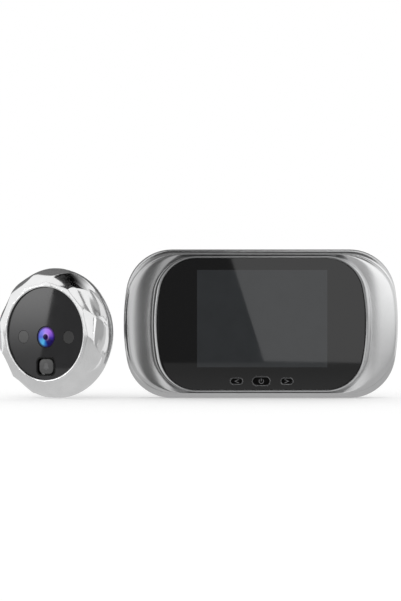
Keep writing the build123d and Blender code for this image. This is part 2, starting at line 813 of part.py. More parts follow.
# Case screws from the back into the fascia's bosses
with BuildPart() as case_screws:
    with BuildSketch(level_plane(screw_seat_level)):
        with Locations(*screw_places):
            Circle(screw_radius)
    extrude(amount=screw_length)
    with BuildSketch(level_plane(screw_seat_level)):
        with Locations(*screw_places):
            Circle(screw_head_radius)
    extrude(amount=-screw_head_height)
    with BuildSketch(level_plane(screw_seat_level - screw_head_height)):
        with Locations(*screw_places):
            Rectangle(screw_head_radius, screw_head_radius / 4)
            Rectangle(screw_head_radius / 4, screw_head_radius)
    extrude(amount=screw_head_height / 2, mode=Mode.SUBTRACT)
case_screws.part.label = "case_screws"
export_step(case_screws.part, "parts/case_screws.step")

# Speaker on its gasket over the grille: basket with the magnet, and the paper cone in it
gasket_level = case_floor_level + speaker_gasket_thickness
with BuildPart() as speaker_gasket:
    with BuildSketch(level_plane(case_floor_level)):
        with Locations((speaker_x, 0)):
            Circle(speaker_radius)
            Circle(speaker_radius - speaker_rim, mode=Mode.SUBTRACT)
    extrude(amount=speaker_gasket_thickness)
speaker_gasket.part.label = "speaker_gasket"
export_step(speaker_gasket.part, "parts/speaker_gasket.step")

with BuildPart() as speaker_frame:
    with BuildSketch(level_plane(gasket_level)):
        with Locations((speaker_x, 0)):
            Circle(speaker_radius)
    extrude(amount=speaker_depth - magnet_depth)
    with BuildSketch(level_plane(gasket_level)):
        with Locations((speaker_x, 0)):
            Circle(speaker_radius - speaker_rim)
    extrude(amount=speaker_depth - magnet_depth - speaker_plate, mode=Mode.SUBTRACT)
    with BuildSketch(level_plane(gasket_level + speaker_depth - magnet_depth)):
        with Locations((speaker_x, 0)):
            Circle(magnet_radius)
    extrude(amount=magnet_depth)
speaker_frame.part.label = "speaker_frame"
export_step(speaker_frame.part, "parts/speaker_frame.step")

cone_depth = speaker_depth - magnet_depth - speaker_plate - cone_thickness - slip_gap
cone_radius = speaker_radius - speaker_rim - touch_gap
cone_inner_radius = cone_radius / 3
with BuildPart() as speaker_cone:
    with BuildSketch(Plane.XY):
        with BuildLine():
            Polyline(
                (speaker_x, -gasket_level - cone_depth),
                (speaker_x + cone_inner_radius, -gasket_level - cone_depth),
                (speaker_x + cone_radius, -gasket_level),
                (speaker_x + cone_radius, -gasket_level - cone_thickness),
                (speaker_x + cone_inner_radius, -gasket_level - cone_depth - cone_thickness),
                (speaker_x, -gasket_level - cone_depth - cone_thickness),
                close=True,
            )
        make_face()
    revolve(axis=Axis((speaker_x, 0, 0), (0, 1, 0)))
speaker_cone.part.label = "speaker_cone"
export_step(speaker_cone.part, "parts/speaker_cone.step")

# Door bracket: a plate with four upturned hooks, two screw slots and a cable window
with BuildPart() as door_bracket:
    with BuildSketch(level_plane(0)):
        RectangleRounded(2 * bracket_half_width, 2 * bracket_half_height, bracket_corner_radius)
        with GridLocations(2 * bracket_slot_x, 0, 2, 1):
            SlotOverall(bracket_slot_length, 2 * bracket_slot_radius, mode=Mode.SUBTRACT)
        with Locations((0, cable_window_z)):
            Rectangle(cable_window_width, cable_window_height, mode=Mode.SUBTRACT)
    extrude(amount=bracket_thickness)
    for x, z in hook_places:
        with BuildSketch(level_plane(bracket_thickness)):
            with Locations((x, z)):
                Rectangle(hook_width, hook_arm_height)
        extrude(amount=hook_tip_level + hook_tip_thickness - bracket_thickness)
        with BuildSketch(level_plane(hook_tip_level)):
            with Locations((x, z - hook_arm_height / 2)):
                Rectangle(
                    hook_width,
                    hook_arm_height + hook_tip_height,
                    align=(Align.CENTER, Align.MIN),
                )
        extrude(amount=hook_tip_thickness)
door_bracket.part.label = "door_bracket"
export_step(door_bracket.part, "parts/door_bracket.step")

# Outdoor unit: its own plane lies in the front edge, turned to the side, with x to the right
yaw = radians(outdoor_yaw)
outdoor_z = girdle_radius - case_half_height
face_plane = Plane(
    origin=(outdoor_x, -outdoor_front_level, outdoor_z),
    x_dir=(cos(yaw), -sin(yaw), 0),
    z_dir=(-sin(yaw), -cos(yaw), 0),
)
front_axis = Axis(origin=face_plane.origin, direction=face_plane.z_dir)


def depth_plane(depth):
    """The plane a depth behind the outdoor unit's front edge, with its normal to the front."""
    return face_plane.offset(-depth)


def swirl_ring(radius, turn):
    """Section of the swirled body: a regular polygon, turned clockwise as seen from the front."""
    corners = []
    for side in range(swirl_sides):
        angle = radians(360 * side / swirl_sides - turn)
        corners.append((radius * cos(angle), radius * sin(angle)))
    with BuildSketch() as section:
        with BuildLine():
            Polyline(*corners, close=True)
        make_face()
    return section.sketch


window_back_depth = window_depth + window_glass_thickness
ledge_depth = window_back_depth + adhesive_thickness
ledge_back_depth = ledge_depth + ledge_thickness
outdoor_board_front = ledge_back_depth + board_ring_height
outdoor_board_back = outdoor_board_front + board_thickness
outdoor_board_radius = ledge_hole_radius + board_ring_width - fit_gap
rear_cover_depth = body_depth - rear_cover_thickness
bell_place = (0, -bell_drop)
lens_place = (0, -lens_drop)
lamp_places = {"left": (-lamp_x, -lens_drop), "right": (lamp_x, -lens_drop)}
outdoor_post_offset = outdoor_post_distance / sqrt(2)
outdoor_post_sides = (-outdoor_post_offset, outdoor_post_offset)
outdoor_post_places = [(x, z) for x in outdoor_post_sides for z in outdoor_post_sides]

# Outdoor shell: a swirled twelve-sided body with a round window seat and a hollow behind it
with BuildPart() as outdoor_shell:
    for depth_share, radius_share, turn_share in swirl_shares:
        with BuildSketch(depth_plane(body_depth * depth_share)):
            add(swirl_ring(girdle_radius * radius_share, swirl_turn * turn_share))
    loft(ruled=True)
    with BuildSketch(depth_plane(window_depth)):
        Circle(window_radius)
    with BuildSketch(depth_plane(0)):
        Circle(window_radius + window_bevel)
    loft(ruled=True, mode=Mode.SUBTRACT)
    with BuildSketch(depth_plane(ledge_depth)):
        Circle(window_radius)
    extrude(amount=ledge_depth - window_depth, mode=Mode.SUBTRACT)
    with BuildSketch(depth_plane(body_depth + overrun)):
        Circle(outdoor_cavity_radius)
    extrude(amount=body_depth + overrun - ledge_back_depth, mode=Mode.SUBTRACT)
    with BuildSketch(depth_plane(outdoor_board_front)):
        Circle(ledge_hole_radius + board_ring_width)
    extrude(amount=board_ring_height)
    with BuildSketch(depth_plane(rear_cover_depth)):
        with Locations(*outdoor_post_places):
            Circle(outdoor_post_radius)
    extrude(amount=rear_cover_depth - ledge_back_depth)
    with BuildSketch(depth_plane(outdoor_board_front + overrun)):
        Circle(ledge_hole_radius)
    extrude(amount=outdoor_board_front + overrun, mode=Mode.SUBTRACT)
    with BuildSketch(depth_plane(ledge_back_depth)):
        with Locations(bell_place):
            RectangleRounded(bell_pocket_width, bell_pocket_height, bell_pocket_corner)
    extrude(amount=ledge_back_depth, mode=Mode.SUBTRACT)
    with BuildSketch(depth_plane(rear_cover_depth)):
        with Locations(*outdoor_post_places):
            Circle(screw_radius + touch_gap)
    extrude(amount=outdoor_screw_length, mode=Mode.SUBTRACT)
outdoor_shell.part.label = "outdoor_shell"
export_step(outdoor_shell.part, "parts/outdoor_shell.step")

# Round front window, with holes for the lens, the lamp windows and the bell button
with BuildPart() as outdoor_window:
    with BuildSketch(depth_plane(window_back_depth)):
        Circle(window_radius - slip_gap)
        with Locations(lens_place):
            Circle(lens_radius + slip_gap, mode=Mode.SUBTRACT)
        with Locations(*lamp_places.values()):
            Circle(lamp_window_radius + slip_gap, mode=Mode.SUBTRACT)
        with Locations(bell_place):
            RectangleRounded(
                bell_pocket_width, bell_pocket_height, bell_pocket_corner, mode=Mode.SUBTRACT
            )
    extrude(amount=window_glass_thickness)
outdoor_window.part.label = "outdoor_window"
export_step(outdoor_window.part, "parts/outdoor_window.step")

with BuildPart() as window_adhesive:
    with BuildSketch(depth_plane(ledge_depth)):
        Circle(window_radius - 2 * slip_gap)
        Circle(ledge_hole_radius + slip_gap, mode=Mode.SUBTRACT)
        with Locations(bell_place):
            RectangleRounded(
                bell_pocket_width, bell_pocket_height, bell_pocket_corner, mode=Mode.SUBTRACT
            )
    extrude(amount=adhesive_thickness)
window_adhesive.part.label = "window_adhesive"
export_step(window_adhesive.part, "parts/window_adhesive.step")

# Round board of the outdoor unit, on the shell's ring and notched for the posts
with BuildPart() as outdoor_board:
    with BuildSketch(depth_plane(outdoor_board_back)):
        Circle(outdoor_board_radius)
        with Locations(*outdoor_post_places):
            Circle(outdoor_post_radius + fit_gap, mode=Mode.SUBTRACT)
    extrude(amount=board_thickness)
outdoor_board.part.label = "outdoor_board"
export_step(outdoor_board.part, "parts/outdoor_board.step")

# Lens: barrel with its collar, domed front element, inner element, holder and image sensor
lens_back_depth = lens_front_depth + lens_length
collar_back_depth = lens_front_depth + lens_collar_height
element_seat_depth = lens_front_depth + front_element_edge + touch_gap
with BuildPart() as lens_barrel:
    with BuildSketch(depth_plane(collar_back_depth)):
        with Locations(lens_place):
            Circle(lens_radius)
    extrude(amount=lens_collar_height)
    with BuildSketch(depth_plane(lens_back_depth)):
        with Locations(lens_place):
            Circle(lens_thread_radius)
    extrude(amount=lens_length - lens_collar_height)
    with BuildSketch(depth_plane(element_seat_depth)):
        with Locations(lens_place):
            Circle(front_element_radius + touch_gap)
    extrude(amount=front_element_edge + overrun, mode=Mode.SUBTRACT)
    with BuildSketch(depth_plane(lens_back_depth + overrun)):
        with Locations(lens_place):
            Circle(lens_bore_radius)
    extrude(amount=lens_length + overrun, mode=Mode.SUBTRACT)
lens_barrel.part.label = "lens_barrel"
export_step(lens_barrel.part, "parts/lens_barrel.step")

dome_radius = (front_element_radius**2 + front_element_dome**2) / (2 * front_element_dome)
with BuildPart() as lens_front_element:
    with BuildSketch(depth_plane(element_seat_depth)):
        with Locations(lens_place):
            Circle(front_element_radius)
    extrude(amount=front_element_edge + front_element_dome)
    with Locations(depth_plane(lens_front_depth + dome_radius - front_element_dome)):
        with Locations((0, -lens_drop, 0)):
            Sphere(dome_radius, mode=Mode.INTERSECT)
lens_front_element.part.label = "lens_front_element"
export_step(lens_front_element.part, "parts/lens_front_element.step")

with BuildPart() as lens_inner_element:
    with BuildSketch(depth_plane(inner_element_depth + inner_element_thickness)):
        with Locations(lens_place):
            Circle(lens_bore_radius - touch_gap)
    extrude(amount=inner_element_thickness)
lens_inner_element.part.label = "lens_inner_element"
export_step(lens_inner_element.part, "parts/lens_inner_element.step")

with BuildPart() as lens_holder:
    with BuildSketch(depth_plane(outdoor_board_front)):
        with Locations(lens_place):
            RectangleRounded(2 * holder_half_width, 2 * holder_half_width, socket_wall)
            Circle(lens_thread_radius + touch_gap, mode=Mode.SUBTRACT)
    extrude(amount=holder_height)
lens_holder.part.label = "lens_holder"
export_step(lens_holder.part, "parts/lens_holder.step")

with BuildPart() as image_sensor:
    with BuildSketch(depth_plane(outdoor_board_front)):
        with Locations(lens_place):
            Rectangle(sensor_width, sensor_height)
    extrude(amount=sensor_thickness)
image_sensor.part.label = "image_sensor"
export_step(image_sensor.part, "parts/image_sensor.step")

# Infrared lamps on the board, each behind its own window
for name, place in lamp_places.items():
    with BuildPart() as lamp_window:
        with BuildSketch(depth_plane(window_back_depth)):
            with Locations(place):
                Circle(lamp_window_radius)
        extrude(amount=window_glass_thickness)
    lamp_window.part.label = f"{name}_lamp_window"
    export_step(lamp_window.part, f"parts/{name}_lamp_window.step")

    with BuildPart() as infrared_lamp:
        with BuildSketch(depth_plane(outdoor_board_front)):
            with Locations(place):
                Circle(lamp_base_radius)
        extrude(amount=lamp_base_height)
        with BuildSketch(depth_plane(outdoor_board_front)):
            with Locations(place):
                Circle(lamp_radius)
        extrude(amount=lamp_height)
        fillet(infrared_lamp.faces().sort_by(front_axis)[-1].edges(), lamp_radius / 2)
    infrared_lamp.part.label = f"{name}_infrared_lamp"
    export_step(infrared_lamp.part, f"parts/{name}_infrared_lamp.step")

# Bell button: a dark bezel in the window, the cap with its stem, and the switch on the board
bezel_width = bell_pocket_width - 2 * slip_gap
bezel_height = bell_pocket_height - 2 * slip_gap
bezel_corner = bell_pocket_corner - slip_gap
bell_foot_depth = outdoor_board_front - bell_switch_height - plunger_height - switch_gap
with BuildPart() as bell_bezel:
    with BuildSketch(depth_plane(ledge_back_depth)):
        with Locations(bell_place):
            RectangleRounded(bezel_width, bezel_height, bezel_corner)
    extrude(amount=ledge_back_depth - window_depth)
    with BuildSketch(depth_plane(ledge_back_depth - bell_bezel_floor)):
        with Locations(bell_place):
            RectangleRounded(
                bezel_width - 2 * bell_bezel_wall,
                bezel_height - 2 * bell_bezel_wall,
                bezel_corner - bell_bezel_wall,
            )
    extrude(amount=ledge_back_depth, mode=Mode.SUBTRACT)
    with BuildSketch(depth_plane(ledge_back_depth + overrun)):
        with Locations(bell_place):
            Circle(bell_stem_radius + fit_gap)
    extrude(amount=bell_bezel_floor + 2 * overrun, mode=Mode.SUBTRACT)
bell_bezel.part.label = "bell_bezel"
export_step(bell_bezel.part, "parts/bell_bezel.step")

cap_inset = bell_bezel_wall + bell_cap_gap
with BuildPart() as bell_button:
    with BuildSketch(depth_plane(bell_cap_depth + bell_cap_thickness)):
        with Locations(bell_place):
            RectangleRounded(
                bezel_width - 2 * cap_inset, bezel_height - 2 * cap_inset, bezel_corner - cap_inset
            )
    extrude(amount=bell_cap_thickness)
    fillet(bell_button.faces().sort_by(front_axis)[-1].edges(), bell_cap_thickness / 4)
    with BuildSketch(depth_plane(bell_foot_depth)):
        with Locations(bell_place):
            Circle(bell_stem_radius)
    extrude(amount=bell_foot_depth - bell_cap_depth - bell_cap_thickness)
bell_button.part.label = "bell_button"
export_step(bell_button.part, "parts/bell_button.step")

with BuildPart() as bell_switch:
    with BuildSketch(depth_plane(outdoor_board_front)):
        with Locations(bell_place):
            Rectangle(bell_switch_width, bell_switch_width)
    extrude(amount=bell_switch_height)
    with BuildSketch(depth_plane(outdoor_board_front - bell_switch_height)):
        with Locations(bell_place):
            Circle(plunger_radius)
    extrude(amount=plunger_height)
bell_switch.part.label = "bell_switch"
export_step(bell_switch.part, "parts/bell_switch.step")

with BuildPart() as outdoor_socket:
    with BuildSketch(depth_plane(outdoor_board_back + outdoor_socket_depth)):
        Rectangle(outdoor_socket_width, outdoor_socket_height)
    extrude(amount=outdoor_socket_depth)
    with BuildSketch(depth_plane(outdoor_board_back + outdoor_socket_depth)):
        Rectangle(outdoor_socket_width - 2 * socket_wall, outdoor_socket_height - 2 * socket_wall)
    extrude(amount=outdoor_socket_depth / 2, mode=Mode.SUBTRACT)
outdoor_socket.part.label = "outdoor_socket"
export_step(outdoor_socket.part, "parts/outdoor_socket.step")

# Rear cover: a disc with a ring that clamps the board, screwed to the shell's posts
flange_seat_depth = body_depth - stem_flange_thickness
with BuildPart() as outdoor_rear_cover:
    with BuildSketch(depth_plane(body_depth)):
        Circle(outdoor_cavity_radius - fit_gap)
    extrude(amount=rear_cover_thickness)
    with BuildSketch(depth_plane(rear_cover_depth)):
        Circle(cover_ring_radius)
        Circle(cover_ring_radius - cover_ring_wall, mode=Mode.SUBTRACT)
    extrude(amount=rear_cover_depth - outdoor_board_back - touch_gap)
    with BuildSketch(depth_plane(body_depth + overrun)):
        Circle(stem_radius + slip_gap)
        with Locations(*outdoor_post_places):
            Circle(screw_radius + slip_gap)
    extrude(amount=rear_cover_thickness + 2 * overrun, mode=Mode.SUBTRACT)
    with BuildSketch(depth_plane(body_depth + overrun)):
        Circle(stem_flange_radius + slip_gap)
        with Locations(*outdoor_post_places):
            Circle(screw_head_radius + slip_gap)
    extrude(amount=stem_flange_thickness + overrun, mode=Mode.SUBTRACT)
outdoor_rear_cover.part.label = "outdoor_rear_cover"
export_step(outdoor_rear_cover.part, "parts/outdoor_rear_cover.step")

with BuildPart() as outdoor_screws:
    with BuildSketch(depth_plane(flange_seat_depth)):
        with Locations(*outdoor_post_places):
            Circle(screw_radius)
    extrude(amount=outdoor_screw_length)
    with BuildSketch(depth_plane(body_depth)):
        with Locations(*outdoor_post_places):
            Circle(screw_head_radius)
    extrude(amount=stem_flange_thickness)
outdoor_screws.part.label = "outdoor_screws"
export_step(outdoor_screws.part, "parts/outdoor_screws.step")

# Hollow stem through the door, with a flange outside the cover and a nut inside
nut_front_depth = rear_cover_depth - nut_thickness
stem_front_depth = nut_front_depth - nut_stand
with BuildPart() as cable_stem:
    with BuildSketch(depth_plane(stem_end_depth)):
        Circle(stem_radius)
    extrude(amount=stem_end_depth - stem_front_depth)
    with BuildSketch(depth_plane(body_depth)):
        Circle(stem_flange_radius)
    extrude(amount=stem_flange_thickness)
    chamfer(cable_stem.faces().sort_by(front_axis)[0].edges(), stem_end_bevel)
    with BuildSketch(depth_plane(stem_end_depth + overrun)):
        Circle(stem_bore_radius)
    extrude(amount=stem_end_depth - stem_front_depth + 2 * overrun, mode=Mode.SUBTRACT)
cable_stem.part.label = "cable_stem"
export_step(cable_stem.part, "parts/cable_stem.step")

with BuildPart() as stem_nut:
    with BuildSketch(depth_plane(rear_cover_depth)):
        RegularPolygon(nut_flat_radius, 6, major_radius=False)
        Circle(stem_radius + touch_gap, mode=Mode.SUBTRACT)
    extrude(amount=nut_thickness)
stem_nut.part.label = "stem_nut"
export_step(stem_nut.part, "parts/stem_nut.step")

# Soft ring between the outdoor unit and the door
with BuildPart() as door_seal:
    with BuildSketch(depth_plane(body_depth + seal_thickness)):
        Circle(seal_radius)
        Circle(seal_inner_radius, mode=Mode.SUBTRACT)
    extrude(amount=seal_thickness)
door_seal.part.label = "door_seal"
export_step(door_seal.part, "parts/door_seal.step")
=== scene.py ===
"""Looks of a peephole door camera: the indoor screen unit, its door bracket and the outdoor unit.

Metres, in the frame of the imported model: Z up, the fronts face -Y. A level is a distance in front
of the door, and a depth is a distance behind the outdoor unit's front edge.
"""

import json
import logging
import math
from collections.abc import Iterable, Sequence
from dataclasses import astuple, dataclass
from enum import Enum
from itertools import product
from typing import Protocol

import bmesh
import bpy
from mathutils import Matrix, Vector

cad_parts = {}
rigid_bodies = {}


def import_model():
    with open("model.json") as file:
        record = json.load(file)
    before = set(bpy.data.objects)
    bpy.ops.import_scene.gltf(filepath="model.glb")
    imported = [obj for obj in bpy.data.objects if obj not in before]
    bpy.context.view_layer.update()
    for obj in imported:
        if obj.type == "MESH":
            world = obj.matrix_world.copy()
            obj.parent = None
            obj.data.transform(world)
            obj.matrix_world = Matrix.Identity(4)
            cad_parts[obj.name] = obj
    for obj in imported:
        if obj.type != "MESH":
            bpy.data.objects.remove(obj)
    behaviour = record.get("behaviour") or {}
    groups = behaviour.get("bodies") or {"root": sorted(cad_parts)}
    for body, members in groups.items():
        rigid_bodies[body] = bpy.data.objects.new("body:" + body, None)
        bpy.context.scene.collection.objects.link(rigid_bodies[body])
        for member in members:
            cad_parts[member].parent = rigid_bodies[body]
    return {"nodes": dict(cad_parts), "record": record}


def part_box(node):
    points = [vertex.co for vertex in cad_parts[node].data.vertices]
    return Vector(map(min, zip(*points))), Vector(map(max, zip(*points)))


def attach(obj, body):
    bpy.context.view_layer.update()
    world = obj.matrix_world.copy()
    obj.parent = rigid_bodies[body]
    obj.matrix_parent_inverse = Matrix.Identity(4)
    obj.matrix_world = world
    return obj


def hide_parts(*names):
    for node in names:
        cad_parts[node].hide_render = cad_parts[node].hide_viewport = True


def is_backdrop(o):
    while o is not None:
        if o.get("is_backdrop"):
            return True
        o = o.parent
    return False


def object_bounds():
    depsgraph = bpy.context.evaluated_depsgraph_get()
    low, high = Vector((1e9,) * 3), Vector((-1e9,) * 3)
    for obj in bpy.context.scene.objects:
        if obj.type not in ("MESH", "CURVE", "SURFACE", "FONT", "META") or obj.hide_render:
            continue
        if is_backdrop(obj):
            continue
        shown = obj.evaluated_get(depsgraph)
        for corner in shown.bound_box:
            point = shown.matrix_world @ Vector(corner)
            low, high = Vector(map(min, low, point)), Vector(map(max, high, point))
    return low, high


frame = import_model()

CAD_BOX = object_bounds()
MM = 0.001
NEAR = 0.01 * MM
SEED_SIZE = 1.0 * MM
OVERRUN = 1.0 * MM
BLOCK_STEPS = 10
RIM_WALL = 0.4 * MM
KEY_NAMES = ("previous", "power", "next")
WHITE = (1.0, 1.0, 1.0)
LOG = logging.getLogger("door_camera")

Colour = tuple[float, float, float]
Point = tuple[float, float]
Corners = tuple[tuple[float, float, float], ...]
Piece = bpy.types.Object
Socket = bpy.types.NodeSocket


class Ends(Enum):
    """How a skin of rings is closed."""

    CAPPED = "a face over the first and the last ring"
    JOINED = "the last ring bridged back to the first"


class Cut(Enum):
    """How a tool mesh changes the piece it meets."""

    TAKE_AWAY = "DIFFERENCE"
    ADD = "UNION"


class Symbol(Enum):
    """Generic sign printed on a button."""

    PREVIOUS = "previous"
    POWER = "power"
    NEXT = "next"


class Surface(Protocol):
    """What a piece can be dressed in."""

    def material(self) -> bpy.types.Material:
        """Builds the material."""


class SubAssembly(Protocol):
    """What main can build."""

    def build(self) -> list[Piece]:
        """Models and dresses the pieces."""


# Working with operators


def pick(*pieces: Piece) -> None:
    """Selects only these pieces and makes the last one active.

    Args:
        *pieces: the pieces, in order.
    """
    bpy.ops.object.select_all(action="DESELECT")
    for piece in pieces:
        piece.select_set(True)
    bpy.context.view_layer.objects.active = pieces[-1]


def apply_modifier(piece: Piece, kind: str, **settings: object) -> None:
    """Adds a modifier, sets it and applies it to the mesh.

    Args:
        piece: the piece to change.
        kind: the modifier's type.
        **settings: the modifier's own values.
    """
    pick(piece)
    bpy.ops.object.modifier_add(type=kind)
    modifier = piece.modifiers[-1]
    for name, value in settings.items():
        setattr(modifier, name, value)
    bpy.ops.object.modifier_apply(modifier=modifier.name)


def combine(piece: Piece, tool: Piece, cut: Cut) -> None:
    """Adds a tool mesh to a piece or takes it away, and deletes the tool."""
    apply_modifier(piece, "BOOLEAN", operation=cut.value, object=tool, solver="EXACT")
    bpy.data.objects.remove(tool)


def soften(piece: Piece, width: float, angle: float = 40.0, segments: int = 2) -> None:
    """Rounds by a small bevel the edges that turn by more than an angle in degrees."""
    limit = {"limit_method": "ANGLE", "angle_limit": math.radians(angle)}
    apply_modifier(piece, "BEVEL", width=width, segments=segments, **limit)


def shade(piece: Piece, crease: float) -> None:
    """Shades a piece smooth, with crisp edges where faces turn by more than an angle in degrees."""
    pick(piece)
    bpy.ops.object.shade_smooth_by_angle(angle=math.radians(crease))


def start_mesh(name: str) -> Piece:
    """Starts an empty mesh at the origin and leaves it open in edit mode.

    Args:
        name: the piece's name.

    Returns:
        The piece.
    """
    bpy.ops.object.select_all(action="DESELECT")
    bpy.ops.mesh.primitive_plane_add(size=SEED_SIZE)
    piece = bpy.context.object
    piece.name = name
    bpy.ops.object.mode_set(mode="EDIT")
    bpy.ops.mesh.select_mode(type="VERT")
    bpy.ops.mesh.select_all(action="SELECT")
    bpy.ops.mesh.delete(type="VERT")
    return piece


def place_point(place: Vector) -> None:
    """Puts one selected point at a place in edit mode."""
    bpy.ops.mesh.primitive_plane_add(size=SEED_SIZE, location=place)
    bpy.ops.mesh.merge(type="CENTER")


def draw_face(name: str, corners: Sequence[Sequence[float]], thickness: float = 0.0) -> Piece:
    """A flat piece drawn corner by corner, with a thickness towards the back where one is given.

    Args:
        name: the piece's name.
        corners: the corners of its front face.
        thickness: how far it reaches back.

    Returns:
        The piece.
    """
    piece = start_mesh(name)
    path = [Vector(corner) for corner in corners]
    bpy.ops.mesh.select_all(action="DESELECT")
    place_point(path[0])
    for here, there in zip(path, path[1:]):
        bpy.ops.mesh.extrude_region_move(TRANSFORM_OT_translate={"value": there - here})
    bpy.ops.mesh.select_linked()
    bpy.ops.mesh.edge_face_add()
    if thickness:
        bpy.ops.mesh.extrude_region_move(TRANSFORM_OT_translate={"value": (0, thickness, 0)})
        bpy.ops.mesh.select_all(action="SELECT")
        bpy.ops.mesh.normals_make_consistent(inside=False)
    bpy.ops.object.mode_set(mode="OBJECT")
    return piece


def print_shapes(
    name: str, shapes: Sequence[Sequence[Point]], middle: Point, depth: float, height: float
) -> Piece:
    """A print made of flat shapes that stand a little out of a surface.

    Args:
        name: the piece's name.
        shapes: their corners, as x and z from the middle.
        middle: x and z of the print's middle.
        depth: where its face lies along Y.
        height: how thick it is.

    Returns:
        The shapes, joined.
    """
    plates = []
    for shape in shapes:
        corners = [(middle[0] + x, depth, middle[1] + z) for x, z in shape]
        plates.append(draw_face(name, corners, height))
    if len(plates) > 1:
        pick(*plates)
        bpy.ops.object.join()
    return plates[-1]


def block(name: str, low: Sequence[float], high: Sequence[float], corner: float = 0.0) -> Piece:
    """A box between two corners, with its edges along Y rounded.

    Args:
        name: the piece's name.
        low: its lowest corner.
        high: its highest corner.
        corner: radius of the four edges along Y, or zero.

    Returns:
        The new piece.
    """
    low, high = Vector(low), Vector(high)
    bpy.ops.object.select_all(action="DESELECT")
    bpy.ops.mesh.primitive_cube_add(size=1, location=(low + high) / 2)
    piece = bpy.context.object
    piece.name = name
    piece.scale = high - low
    bpy.ops.object.transform_apply(location=True, rotation=True, scale=True)
    if corner:
        pick(piece)
        bpy.ops.object.mode_set(mode="EDIT")
        bpy.ops.mesh.select_mode(type="EDGE")
        mesh = bmesh.from_edit_mesh(piece.data)
        for edge in mesh.edges:
            edge.select_set(abs(edge.verts[0].co.y - edge.verts[1].co.y) > NEAR)
        bmesh.update_edit_mesh(piece.data)
        bpy.ops.mesh.bevel(offset=corner, segments=BLOCK_STEPS)
        bpy.ops.object.mode_set(mode="OBJECT")
    return piece


def rod(name: str, centre: Sequence[float], radius: float, length: float, sides: int = 32) -> Piece:
    """A round bar along Y.

    Args:
        name: the piece's name.
        centre: its middle.
        radius: its radius.
        length: its length along Y.
        sides: how many flats approach the circle.

    Returns:
        The new piece.
    """
    bpy.ops.object.select_all(action="DESELECT")
    bpy.ops.mesh.primitive_cylinder_add(
        vertices=sides, radius=radius, depth=length, location=centre, rotation=(math.pi / 2, 0, 0)
    )
    piece = bpy.context.object
    piece.name = name
    bpy.ops.object.transform_apply(location=True, rotation=True, scale=True)
    return piece


# Drawing skins ring by ring


@dataclass(frozen=True)
class Outline:
    """Pillow outline with a straight top and bottom, round corners and bulged sides."""

    half_width: float
    half_height: float
    corner: float
    bulge: float

    @property
    def rise(self) -> float:
        """Height of the corner arcs' centres."""
        return self.half_height - self.corner

    @property
    def turn(self) -> float:
        """Half the angle of a side's arc."""
        return math.asin(self.rise / (self.bulge - self.corner))

    @property
    def flat(self) -> float:
        """Half the length of the straight top."""
        return self.half_width - self.bulge + (self.bulge - self.corner) * math.cos(self.turn)

    def inset(self, distance: float) -> "Outline":
        """The parallel outline that lies a distance inside this one."""
        return Outline(*(size - distance for size in astuple(self)))

    def blend(self, other: "Outline", share: float) -> "Outline":
        """The outline at a share of the way to another one."""
        return Outline(*(own + (far - own) * share for own, far in zip(astuple(self), astuple(other))))


